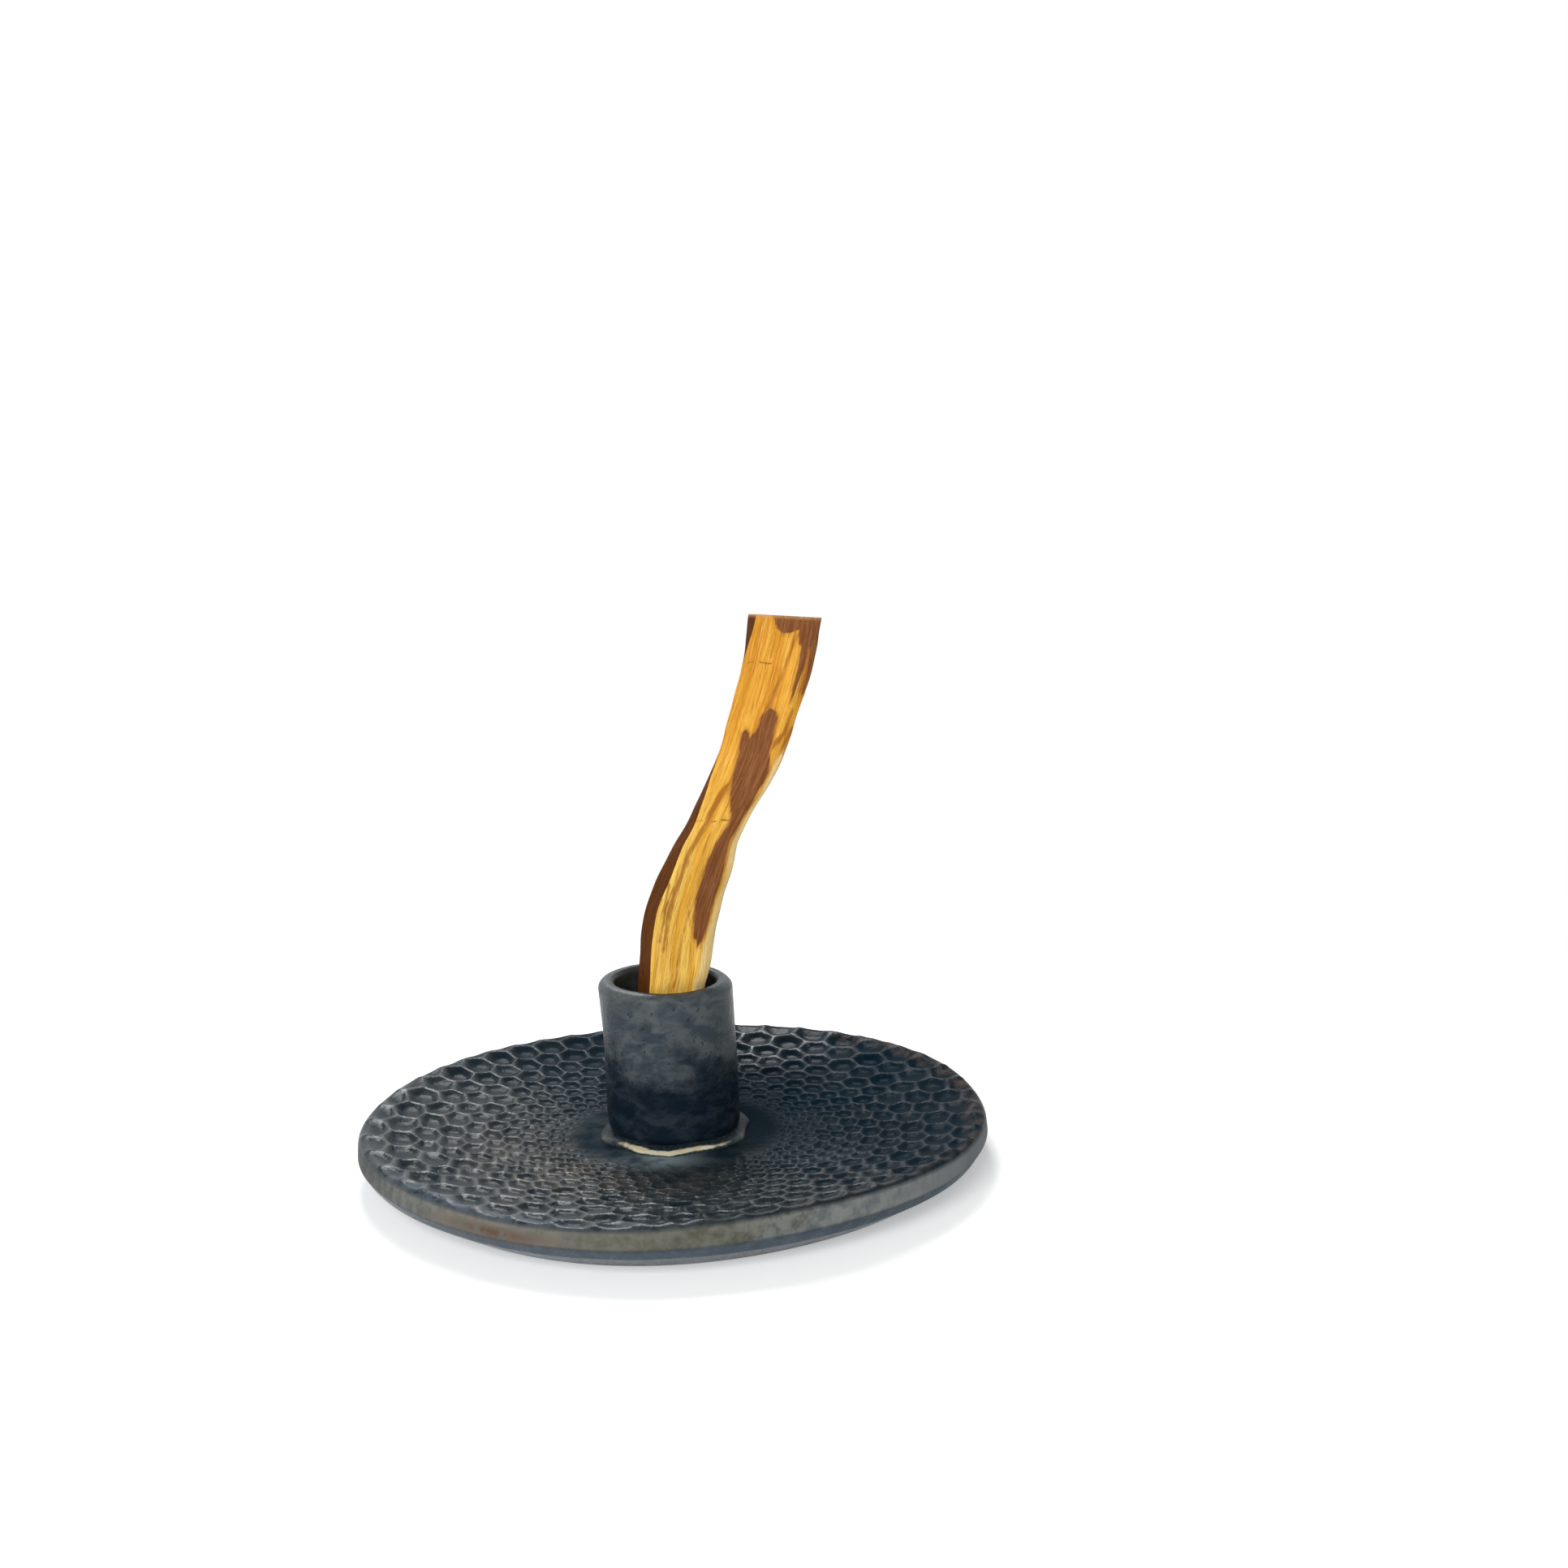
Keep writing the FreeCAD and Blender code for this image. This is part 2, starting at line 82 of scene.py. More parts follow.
def turn_between(angle, middle):
    """Signed angle from middle to angle, within half a turn."""
    return (angle - middle + math.pi) % (2 * math.pi) - math.pi


RIPPLE_SPREAD = (0.7, 1.6)  # shortest and longest ripple, as shares of the given length


def unevenness(points, height, length, seed, waves=12):
    """Smooth seeded ripples of about the given height and length."""
    random = np.random.default_rng(seed)
    total = np.zeros(points.shape[:-1])
    for _ in range(waves):
        direction = random.normal(size=3)
        direction /= np.linalg.norm(direction)
        stretch = length * random.uniform(*RIPPLE_SPREAD)
        phase = random.uniform(0, 2 * math.pi)
        total += np.sin(2 * math.pi * (points @ direction) / stretch + phase)
    return height * total / math.sqrt(waves)


def rounded_chain(corners, arc_steps=6):
    """Open chain through (x, y, radius) corners, with each corner replaced by an arc."""
    points = [np.array(corners[0][:2], float)]
    for before, corner, after in zip(corners, corners[1:], corners[2:]):
        tip = np.array(corner[:2], float)
        back = np.array(before[:2], float) - tip
        ahead = np.array(after[:2], float) - tip
        back /= np.linalg.norm(back)
        ahead /= np.linalg.norm(ahead)
        half_turn = math.acos(np.clip(back @ ahead, -1, 1)) / 2
        reach = corner[2] / math.tan(half_turn)
        inward = (back + ahead) / np.linalg.norm(back + ahead)
        middle = tip + inward * corner[2] / math.sin(half_turn)
        start = tip + back * reach - middle
        finish = tip + ahead * reach - middle
        for step in range(arc_steps + 1):
            spoke = start + (finish - start) * step / arc_steps
            points.append(middle + spoke * corner[2] / np.linalg.norm(spoke))
    points.append(np.array(corners[-1][:2], float))
    return np.array(points)


def filled_chain(points, longest):
    """The chain with extra points, so that no step is longer than given."""
    filled = [points[0]]
    for start, finish in zip(points, points[1:]):
        pieces = max(1, math.ceil(np.linalg.norm(finish - start) / longest))
        for piece in range(1, pieces + 1):
            filled.append(start + (finish - start) * piece / pieces)
    return np.array(filled)


def softened(ring, rounds):
    """A closed ring of values or points, each drawn towards its neighbours."""
    for _ in range(rounds):
        ring = (np.roll(ring, 1, axis=0) + 2 * ring + np.roll(ring, -1, axis=0)) / 4
    return ring


# Mesh helpers
def new_piece(name, points, faces, attributes, material, flat_faces=0):
    """A piece in millimetres, smooth but for its last flat faces, with attributes per point."""
    mesh = bpy.data.meshes.new(name)
    mesh.from_pydata((points * MM).tolist(), [], faces)
    smooth = np.arange(len(faces)) < len(faces) - flat_faces
    mesh.polygons.foreach_set("use_smooth", smooth)
    for label, values in attributes.items():
        if values.ndim == 1:
            layer = mesh.attributes.new(label, "FLOAT", "POINT")
            layer.data.foreach_set("value", values.astype(np.float32))
        else:
            layer = mesh.attributes.new(label, "FLOAT_VECTOR", "POINT")
            layer.data.foreach_set("vector", values.astype(np.float32).ravel())
    mesh.materials.append(material)
    mesh.validate()
    piece = bpy.data.objects.new(name, mesh)
    bpy.context.scene.collection.objects.link(piece)
    return piece


def grid_faces(rows, columns, closed=False):
    """Quads of a grid whose columns close into a ring, and its rows too where it is closed."""
    faces = []
    for row in range(rows if closed else rows - 1):
        lower, upper = row * columns, (row + 1) % rows * columns
        for column in range(columns):
            following = (column + 1) % columns
            faces.append((lower + column, lower + following, upper + following, upper + column))
    return faces


def dress(piece, body, node):
    """Puts a piece on its body in place of a CAD node."""
    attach(piece, body)
    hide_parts(node)


# Material helpers
MIX_SHARE, MIX_FIRST, MIX_SECOND, MIX_RESULT = 0, 6, 7, 2  # sockets of a colour mix


class Nodes:
    """The node tree of a material or a world."""

    def __init__(self, owner):
        owner.use_nodes = True
        self.tree = owner.node_tree

    def feed(self, socket, value):
        """Links a socket to another node's output, or sets its value."""
        if isinstance(value, bpy.types.NodeSocket):
            self.tree.links.new(value, socket)
        else:
            socket.default_value = value

    def add(self, kind, inputs=(), **settings):
        """A new node with its settings and with its inputs fed."""
        node = self.tree.nodes.new(kind)
        for name, value in settings.items():
            setattr(node, name, value)
        for socket, value in dict(inputs).items():
            self.feed(node.inputs[socket], value)
        return node

    def number(self, operation, first, second=0.0, clamp=False):
        inputs = {0: first, 1: second}
        return self.add("ShaderNodeMath", inputs, operation=operation, use_clamp=clamp).outputs[0]

    def product(self, first, second):
        return self.number("MULTIPLY", first, second)

    def span(self, value, low, high, to_low=0.0, to_high=1.0):
        """Smoothly maps low..high onto to_low..to_high."""
        inputs = {"Value": value, "From Min": low, "From Max": high, "To Min": to_low, "To Max": to_high}
        return self.add("ShaderNodeMapRange", inputs, interpolation_type="SMOOTHSTEP").outputs["Result"]


class Look(Nodes):
    """A node material built round one Principled shader."""

    def __init__(self, name):
        self.material = bpy.data.materials.new(name)
        super().__init__(self.material)
        self.shader = self.tree.nodes["Principled BSDF"]

    def set(self, name, value):
        self.feed(self.shader.inputs[name], value)

    def attribute(self, name, output="Fac"):
        return self.add("ShaderNodeAttribute", attribute_name=name).outputs[output]

    def place(self):
        """Position on the object, in metres."""
        return self.add("ShaderNodeTexCoord").outputs["Object"]

    def stretched(self, vector, scale):
        inputs = {"Vector": vector, "Scale": scale}
        return self.add("ShaderNodeMapping", inputs).outputs["Vector"]

    def noise(self, vector, scale, detail=4.0, roughness=0.55, distortion=0.0):
        inputs = {
            "Vector": vector,
            "Scale": scale,
            "Detail": detail,
            "Roughness": roughness,
            "Distortion": distortion,
        }
        return self.add("ShaderNodeTexNoise", inputs).outputs["Fac"]

    def blend(self, share, first, second):
        """Mix of two colours."""
        inputs = {MIX_SHARE: share}
        for socket, value in ((MIX_FIRST, first), (MIX_SECOND, second)):
            inputs[socket] = value if isinstance(value, bpy.types.NodeSocket) else (*value, 1.0)
        return self.add("ShaderNodeMix", inputs, data_type="RGBA").outputs[MIX_RESULT]

    def relief(self, height, distance, strength=1.0, under=None):
        inputs = {"Strength": strength, "Distance": distance, "Height": height}
        if under is not None:
            inputs["Normal"] = under
        return self.add("ShaderNodeBump", inputs).outputs["Normal"]


# Dish: shape
# Slow waves of the hand-cut edge, as count, height and angle of a crest
OUTLINE_WAVES = [(1, 0.60, 59), (2, 0.11, -65), (3, 0.22, 24), (4, 0.08, 9), (5, 0.38, -30)]
CREST_WAVES = [(1, 0.51, 109), (2, 0.13, -60), (3, 0.34, 43), (4, 0.09, 31), (5, 0.19, 7)]
OUTLINE_MARGIN = 0.22
CREST_MARGIN = 0.10
PROBE_POINTS = 1440
RIM_INSET, RIM_SHOULDER = 2.4, 1.8
WELL_START, WELL_CURVE = 20.0, 1.66
BAND_LEAN, BAND_ROUND = 0.4, 1.5
BEVEL_TOP, BEVEL_MIDDLE = 6.3, 3.8
BEVEL_INSET, BEVEL_ROUND = 1.3, 2.0
SOLE_INSET, SOLE_ROUND, SOLE_RUN = 7.6, 0.6, 6
OUTSIDE_STEP = 1.1

# The honeycomb was pressed from a round mat, a little off the middle and rolled out along one direction
COMB_CELLS = 48
COMB_MIDDLE = np.array([1.1, -4.0])
COMB_RING = 57.4
COMB_RING_STEP = 0.099
COMB_RINGS_IN, COMB_RINGS_OUT = 11, 2
COLLAR_RINGS = 4
COMB_STRETCH, COMB_STRETCH_TURN = 1.13, math.radians(117)
COMB_SLIP, SLIP_MIDDLE, SLIP_REACH = 0.33, math.radians(155), math.radians(35)
SCOOP_SHARE = 0.155
SCOOP_POWER = 4.2  # the higher, the flatter the floors of the cells
SCOOP_DEPTHS = (0.65, 1.15)  # the shallowest and the deepest, as shares of the usual depth
SCOOP_SEED = 11
HEX_POWER = 9  # the higher, the sharper the corners of the cells
RIDGE_ROUND = 0.10
COLLAR_START, COLLAR_END = 17.5, 26.0
COLUMN_SAMPLES = [0, 0.15, 0.38, 0.62, 0.85]
ROW_SAMPLES = [0, 0.2, 0.5, 0.8]
CREST_ROUNDS = 40
CREST_GAP = 0.12
RIM_PRESS, RIM_FADE = 0.55, 2.5
SCALLOP_FADE = 2.2

# Hand-made unevenness, as height, length and seed, and where it sets in
PRESS_WAVER, PRESS_LENGTH, PRESS_SEEDS = 0.32, 8, (6, 7)
PRESS_MARGIN, PRESS_SPAN = 8, (18, 30)
WELL_SWAY = (0.10, 16, 3)
WELL_SPAN = (16, 26)
EDGE_SWAY = (0.12, 30, 5)
EDGE_LEVELS, EDGE_SHIFTS = (0.2, 2.0), (-2.3, -1.0)

# Where the glaze changes and where sheen, highlights and shade are painted: shares of a cell, radii, levels,
# and sides as bearing and reach in degrees
RIDGE_PAINT, RIM_PAINT = (0.87, 1.0), 0.12
SLOPE_SHINE, SLOPE_RADII, RIM_SHINE = (0.70, 1.0), (20, 40), 0.3
UPPER_SPAN, LOWER_SPAN, SOLE_LEVEL = (0.5, 1.3), (-0.9, 0.3), 0.05
CREST_SPAN = (3.0, 0.3)
LEFT_SPAN, LEFT_LEAN = (40, -58), 0.7
WARM_SHEEN_RADIUS, WARM_SHEEN_SIDE = (32, 12), (-135, 51.57)
BACK_RADII, BACK_SIDE = (34, 48), (72, 24.06)
RUST_LEVEL, RUST_SIDE = (7.6, 1.9), (-121, 11.46)
FRONT_SIDE = (-100, 21)
FRONT_LEFT_SIDE = (-126, 26)
FRONT_RIGHT_SIDE = (-58, 24)
RIGHT_SIDE = (15, 63.03)

cell_angle = 2 * math.pi / COMB_CELLS


def wavy(angle, waves):
    return sum(height * np.cos(count * (angle - math.radians(crest))) for count, height, crest in waves)


probe = np.linspace(0, 2 * math.pi, PROBE_POINTS)
raw_outline = RIM_RADIUS + wavy(probe, OUTLINE_WAVES)
widest = max(np.abs(raw_outline * np.cos(probe)).max(), np.abs(raw_outline * np.sin(probe)).max())
outline_scale = (RIM_RADIUS - OUTLINE_MARGIN) / widest
mean_crest = RIM_HEIGHT - CREST_MARGIN - wavy(probe, CREST_WAVES).max()


def outline_radius(angle):
    """Outer radius of the hand-cut dish: a circle with a few slow waves, inside the CAD box."""
    return (RIM_RADIUS + wavy(angle, OUTLINE_WAVES)) * outline_scale


def crest_height(angle):
    return mean_crest + wavy(angle, CREST_WAVES)


def well_height(radius, angle):
    """Height of the ridges: a flat floor that curves up to the crest."""
    reach = outline_radius(angle) - RIM_INSET - WELL_START
    share = np.clip((radius - WELL_START) / reach, 0, 1)
    return FLOOR_HEIGHT + (crest_height(angle) - FLOOR_HEIGHT) * share ** WELL_CURVE


def polar(points):
    return np.hypot(points[..., 0], points[..., 1]), np.arctan2(points[..., 1], points[..., 0])


def comb_heading(columns):
    """Direction on the dish of each column of the honeycomb, longer where the mat was stretched."""
    turn = columns * cell_angle
    turn = turn - COMB_SLIP * cell_angle * bump(turn_between(turn, SLIP_MIDDLE), 0, SLIP_REACH)
    pull = math.sqrt(COMB_STRETCH)
    along = np.cos(turn - COMB_STRETCH_TURN) * pull
    across = np.sin(turn - COMB_STRETCH_TURN) / pull
    cosine, sine = math.cos(COMB_STRETCH_TURN), math.sin(COMB_STRETCH_TURN)
    return np.stack([along * cosine - across * sine, along * sine + across * cosine], axis=-1)


def scoop(rings, columns):
    """Depth of the scoops, 1 for the usual one, and share of the way from a cell's middle to its edge."""
    random = np.random.default_rng(SCOOP_SEED)
    depths = random.uniform(*SCOOP_DEPTHS, size=(COMB_RINGS_IN + COMB_RINGS_OUT + COLLAR_RINGS, COMB_CELLS))
    row_height = math.sqrt(3) / 2
    share = np.full(rings.shape, np.inf)
    depth = np.ones(rings.shape)
    for shift in (-1, 0, 1):
        ring = np.round(rings).astype(int) + shift
        offset = np.where(ring % 2 == 0, 0.0, 0.5)
        cell = np.round(columns - offset).astype(int)
        across = columns - offset - cell
        up = (rings - ring) * row_height
        sides = np.stack([across, across / 2 + up * row_height, across / 2 - up * row_height])
        here = (np.abs(2 * sides) ** HEX_POWER).sum(axis=0) ** (1 / HEX_POWER)
        depth = np.where(here < share, depths[ring % len(depths), cell % COMB_CELLS], depth)
        share = np.minimum(share, here)
    share = np.clip(share, 0, 1)
    from_edge = np.sqrt((1 - share) ** 2 + RIDGE_ROUND ** 2) - RIDGE_ROUND
    from_edge /= math.sqrt(1 + RIDGE_ROUND ** 2) - RIDGE_ROUND
    return (1 - (1 - from_edge) ** SCOOP_POWER) * depth, share


def make_dish(material):
    columns = (np.arange(2 * COMB_CELLS)[:, None] + np.array(COLUMN_SAMPLES)).ravel() / 2
    thirds = np.arange(-3 * COMB_RINGS_IN, 3 * COMB_RINGS_OUT)
    collar = np.linspace(-COLLAR_RINGS, 0, 2 * COLLAR_RINGS, endpoint=False) - COMB_RINGS_IN
    rings = np.concatenate([collar, (thirds[:, None] + np.array(ROW_SAMPLES)).ravel() / 3])
    count = len(columns)
    heading = comb_heading(columns)

    # Distance along each column, in lengths of its heading, from the honeycomb's middle to the crest
    crest_reach = np.full(count, RIM_RADIUS)
    for _ in range(CREST_ROUNDS):
        radius, angle = polar(COMB_MIDDLE + heading * crest_reach[:, None])
        crest_reach += outline_radius(angle) - RIM_INSET - radius

    # The well follows the honeycomb's rows, and those past the crest stop on it
    distances = COMB_RING * np.exp(rings * COMB_RING_STEP)
    stopped = distances[:, None] > crest_reach[None, :] - CREST_GAP
    reach = np.where(stopped, crest_reach[None, :], distances[:, None])
    well = COMB_MIDDLE + heading[None] * reach[..., None]
    flat_well = np.concatenate([well, np.zeros(reach.shape + (1,))], axis=-1)
    radius, bearing = polar(well)
    from_crest = outline_radius(bearing) - RIM_INSET - radius
    loose = smooth_step(0, PRESS_MARGIN, from_crest) * smooth_step(*PRESS_SPAN, radius)
    for axis, seed in enumerate(PRESS_SEEDS):
        well[..., axis] += loose * unevenness(flat_well, PRESS_WAVER, PRESS_LENGTH, seed)
    radius, bearing = polar(well)
    from_crest = outline_radius(bearing) - RIM_INSET - radius
    depth, share = scoop(np.log(reach / COMB_RING) / COMB_RING_STEP, np.broadcast_to(columns, reach.shape))
    rim_fade = RIM_PRESS + (1 - RIM_PRESS) * smooth_step(0, RIM_FADE, from_crest)
    collar_fade = smooth_step(COLLAR_START, COLLAR_END, radius)
    pressed = SCOOP_SHARE * reach * cell_angle * rim_fade * collar_fade * depth
    well = np.concatenate([well, (well_height(radius, bearing) - pressed)[..., None]], axis=-1)
    well[..., 2] += unevenness(well, *WELL_SWAY) * smooth_step(*WELL_SPAN, radius)

    # The outside, from the crest over the band and the undercut to the sole
    outside = filled_chain(rounded_chain([
        (-RIM_INSET, RIM_HEIGHT, 0),
        (-BAND_LEAN, RIM_HEIGHT, RIM_SHOULDER),
        (0.0, BEVEL_TOP, BAND_ROUND),
        (-BEVEL_INSET, BEVEL_MIDDLE, BEVEL_ROUND),
        (-SOLE_INSET, 0.0, SOLE_ROUND),
        (-SOLE_INSET - SOLE_RUN, 0.0, 0),
    ]), OUTSIDE_STEP)[1:]
    shift, level = outside[:, 0][:, None], outside[:, 1][:, None]
    rim_bearing = bearing[-1]
    dip = (crest_height(rim_bearing) - RIM_HEIGHT) * smooth_step(BEVEL_MIDDLE, RIM_HEIGHT, level)
    scallop = pressed[-1] * (1 - smooth_step(0, SCALLOP_FADE, shift + RIM_INSET)) * (level > BEVEL_TOP)
    along = shift + outline_radius(rim_bearing)
    cosine, sine = np.cos(rim_bearing), np.sin(rim_bearing)
    skirt = np.stack([along * cosine, along * sine, level + dip - scallop], axis=-1)
    sway = unevenness(skirt, *EDGE_SWAY) * smooth_step(*EDGE_LEVELS, level) * smooth_step(*EDGE_SHIFTS, shift)
    skirt[..., 0] += sway * cosine
    skirt[..., 1] += sway * sine
    middles = [[*COMB_MIDDLE, FLOOR_HEIGHT], [0, 0, 0]]
    points = np.concatenate([well.reshape(-1, 3), skirt.reshape(-1, 3), middles])

    # Point numbers row by row, with the stopped rows of a column all on its crest point
    rows = np.arange(len(rings))[:, None]
    held = np.where(stopped, np.argmax(stopped, axis=0)[None, :], rows)
    numbers = np.concatenate([
        held * count + np.arange(count),
        (len(rings) + np.arange(len(outside)))[:, None] * count + np.arange(count),
    ])
    middle_top = len(points) - 2
    middle_sole = len(points) - 1
    faces = []
    for row in range(len(numbers) - 1):
        third = (row - len(collar)) // len(ROW_SAMPLES) - 3 * COMB_RINGS_IN
        slanted = third % 3 == 1 and len(collar) <= row < len(rings) - 1
        for column in range(count):
            following = (column + 1) % count
            a, b = numbers[row, column], numbers[row, following]
            c, d = numbers[row + 1, following], numbers[row + 1, column]
            falling = slanted and (column // len(COLUMN_SAMPLES) - third // 3) % 2 == 0
            for face in ((a, d, b), (b, d, c)) if falling else ((a, c, b), (a, d, c)):
                if len(set(face)) == 3:
                    faces.append(face)
    for column in range(count):
        following = (column + 1) % count
        faces.append((middle_top, numbers[0, column], numbers[0, following]))
        faces.append((middle_sole, numbers[-1, following], numbers[-1, column]))

    # What the glaze needs to know of each point: first the well, then the outside, then the two middles
    def over_all(in_well, on_outside):
        outer = np.broadcast_to(on_outside, skirt.shape[:2])
        return np.concatenate([in_well.ravel(), outer.ravel(), [0, 0]]).astype(float)

    bearings = over_all(bearing, rim_bearing)

    def facing(side):
        """1 on one side of the dish, fading to 0 round from it."""
        middle, side_reach = np.radians(side)
        return bump(turn_between(bearings, middle), 0, side_reach)

    none = np.zeros(reach.shape)
    shoulder = RIM_HEIGHT - RIM_SHOULDER
    upper = smooth_step(*UPPER_SPAN, level - shoulder)
    lower = 1 - smooth_step(*LOWER_SPAN, level - BEVEL_TOP)
    sole = level <= SOLE_LEVEL
    slope = smooth_step(*SLOPE_SHINE, share)
    masks = {
        "ridge": over_all(smooth_step(*RIDGE_PAINT, share) * collar_fade, RIM_PAINT * upper),
        "slope": over_all(slope * smooth_step(*SLOPE_RADII, radius), RIM_SHINE * upper),
        "collar": over_all(1 - collar_fade, 0),
        "warm_sheen": over_all(bump(radius, *WARM_SHEEN_RADIUS), 0) * facing(WARM_SHEEN_SIDE),
        "band": over_all(none, (1 - upper) * (1 - lower)),
        "bevel": over_all(none, lower * ~sole),
        "sole": over_all(none, sole),
        "crest": over_all(smooth_step(*CREST_SPAN, from_crest), upper),
        "left": smooth_step(*LEFT_SPAN, points[:, 0] + LEFT_LEAN * points[:, 1]),
        "back": over_all(smooth_step(*BACK_RADII, radius), 0) * facing(BACK_SIDE),
        "front": facing(FRONT_SIDE),
        "front_left": facing(FRONT_LEFT_SIDE),
        "front_right": facing(FRONT_RIGHT_SIDE),
        "rust": over_all(none, bump(level, *RUST_LEVEL)) * facing(RUST_SIDE),
        "right": facing(RIGHT_SIDE),
    }
    masks["sole"][-1] = 1
    used, faces = np.unique(np.array(faces), return_inverse=True)
    masks = {name: values[used] for name, values in masks.items()}
    return new_piece("pressed_dish", points[used], faces.reshape(-1, 3).tolist(), masks, material)


def dish_glaze():
    """Dark satin glaze that breaks pale over the ridges and thins to olive on the band, with painted sheen
    and highlights in the well, on the collar and on the crest.
    """
    look = Look("dish_glaze_look")
    blend, span, noise, product, mask = look.blend, look.span, look.noise, look.product, look.attribute
    place = look.place()
    clouds = noise(place, 60, 3)
    patches = noise(place, 190, 3, 0.6)
    mottle = noise(place, 420, 5, 0.65)
    specks = noise(place, 1500, 2)
    left = mask("left")
    back = mask("back")
    crest = mask("crest")
    collar = mask("collar")
    on_band = mask("band")
    front = mask("front")
    front_left = mask("front_left")
    in_mottle = span(mottle, 0.35, 0.7)

    # The well, from the dark of the cells to their worn ridges, with painted sheen and painted highlights on
    # the ridges
    colour = blend(span(clouds, 0.35, 0.7), (0.003, 0.012, 0.021), (0.008, 0.017, 0.025))
    # Painted sheen: the cells are painted paler grey towards the left of the dish, for the sheen of light
    # there
    left_sheen = product(left, span(patches, 0.3, 0.65, 0.08, 0.48))
    colour = blend(left_sheen, colour, blend(in_mottle, (0.036, 0.046, 0.048), (0.080, 0.088, 0.084)))
    # Painted sheen: a warm, paler patch at the front left of the well, for the warm sheen of light there
    warm_sheen = product(mask("warm_sheen"), span(patches, 0.35, 0.6, 0.1, 0.7))
    colour = blend(warm_sheen, colour, (0.066, 0.056, 0.046))
    worn = product(mask("ridge"), span(patches, 0.36, 0.62, 0.05, 1.0))
    worn = product(worn, span(mottle, 0.3, 0.6, 0.12, 0.45))
    # Painted highlights: ridges are painted barely paler on the right and front, where the glaze breaks, and
    # much paler at the left and the back, for glints of light
    pale = blend(back, blend(left, (0.034, 0.046, 0.055), (0.130, 0.137, 0.132)), (0.170, 0.215, 0.235))
    colour = blend(worn, colour, pale)

    # The smooth collar round the cup, where the glaze pooled, with painted shade away from the left and
    # painted sheen at the front
    pool = blend(span(patches, 0.38, 0.62), (0.006, 0.015, 0.024), (0.026, 0.036, 0.042))
    # Painted shade: the collar is painted darker away from the left
    pool = blend(span(left, 0.1, 0.5), (0.004, 0.010, 0.016), pool)
    # Painted sheen: the front of the collar is painted a pale blue-grey
    collar_sheen = product(front, span(patches, 0.3, 0.55, 0.35, 1.0))
    pool = blend(collar_sheen, pool, (0.215, 0.275, 0.305))
    colour = blend(collar, colour, pool)

    # The outside: crest, band, bevel and sole, with a painted blue highlight on the crest at the front left
    warm = product(product(crest, mask("right")), span(mottle, 0.4, 0.65))
    colour = blend(warm, colour, (0.060, 0.042, 0.032))
    steel = blend(left, (0.190, 0.210, 0.222), (0.064, 0.069, 0.066))
    steel = blend(span(mottle, 0.35, 0.7, 0.0, 0.6), steel, (0.150, 0.158, 0.158))
    olive_share = span(look.number("ADD", clouds, product(front, 0.45)), 0.49, 0.75)
    band = blend(olive_share, steel, blend(in_mottle, (0.080, 0.078, 0.056), (0.116, 0.111, 0.086)))
    light_left = product(front_left, span(mottle, 0.3, 0.65, 0.4, 0.9))
    band = blend(light_left, band, (0.205, 0.210, 0.190))
    light_right = product(mask("front_right"), span(mottle, 0.36, 0.62, 0.0, 0.9))
    band = blend(light_right, band, (0.215, 0.230, 0.218))
    colour = blend(on_band, colour, band)
    colour = blend(mask("bevel"), colour, blend(in_mottle, (0.070, 0.096, 0.122), (0.102, 0.126, 0.146)))
    # Painted highlight: a blue-grey sheen on the crest at the front left
    blue_sheen = product(product(crest, front_left), span(mottle, 0.3, 0.6))
    colour = blend(blue_sheen, colour, (0.072, 0.094, 0.116))
    rust = product(mask("rust"), span(mottle, 0.32, 0.56, 0.1, 0.95))
    colour = blend(rust, colour, (0.110, 0.062, 0.042))
    sole = mask("sole")
    colour = blend(sole, colour, blend(span(specks, 0.4, 0.7), (0.090, 0.075, 0.060), (0.130, 0.110, 0.090)))
    look.set("Base Color", colour)

    rough = span(mottle, 0.3, 0.75, 0.17, 0.32)
    rough = look.number("ADD", rough, product(on_band, 0.16))
    look.set("Roughness", look.number("ADD", rough, product(sole, 0.4), clamp=True))
    lit = look.number("MAXIMUM", left, back)
    glint = product(mask("slope"), span(lit, 0.0, 1.0, 0.018, 0.11))
    shine = look.number("ADD", span(lit, 0.0, 1.0, 0.006, 0.046), glint)
    plain = look.number("MAXIMUM", collar, on_band)
    look.set("Specular IOR Level", product(shine, span(plain, 0.0, 1.0, 1.0, 0.08)))
    look.set("Normal", look.relief(mottle, 0.00025, 0.5, look.relief(specks, 0.00012, 0.5)))
    return look.material


# Holder cup
CUP_LEAN = math.radians(1.9)
CUP_WALL = 3.3
CUP_COLUMNS = 160
CUP_STEP = 0.7
CUP_SINK = 0.1
CUP_TAPER, CUP_FOOT_ROUND = 0.15, 2.8
LIP_FLARE, LIP_OUTER_ROUND = 0.05, 1.75
BORE_FLARE, LIP_INNER_ROUND = 0.1, 1.1
LIP_ARC_STEPS = 9
LIP_TILT_BACK, LIP_TILT_LEFT, LIP_DROP = 0.55, 0.3, 0.1
# Shares of the cup's height between which each change sets in
TILT_SPAN, CUP_SWAY_SPAN, LIP_SWAY_SPAN, LIP_PAINT = (0.5, 1.0), (0, 0.15), (0.85, 1.0), (0.93, 0.99)
TALLEST = 1.05
# Hand-made unevenness, as height, length and seed
CUP_SWAY = (0.13, 26, 21)
BORE_SWAY_SHARE = 0.4
LIP_SWAY = (0.10, 14, 22)


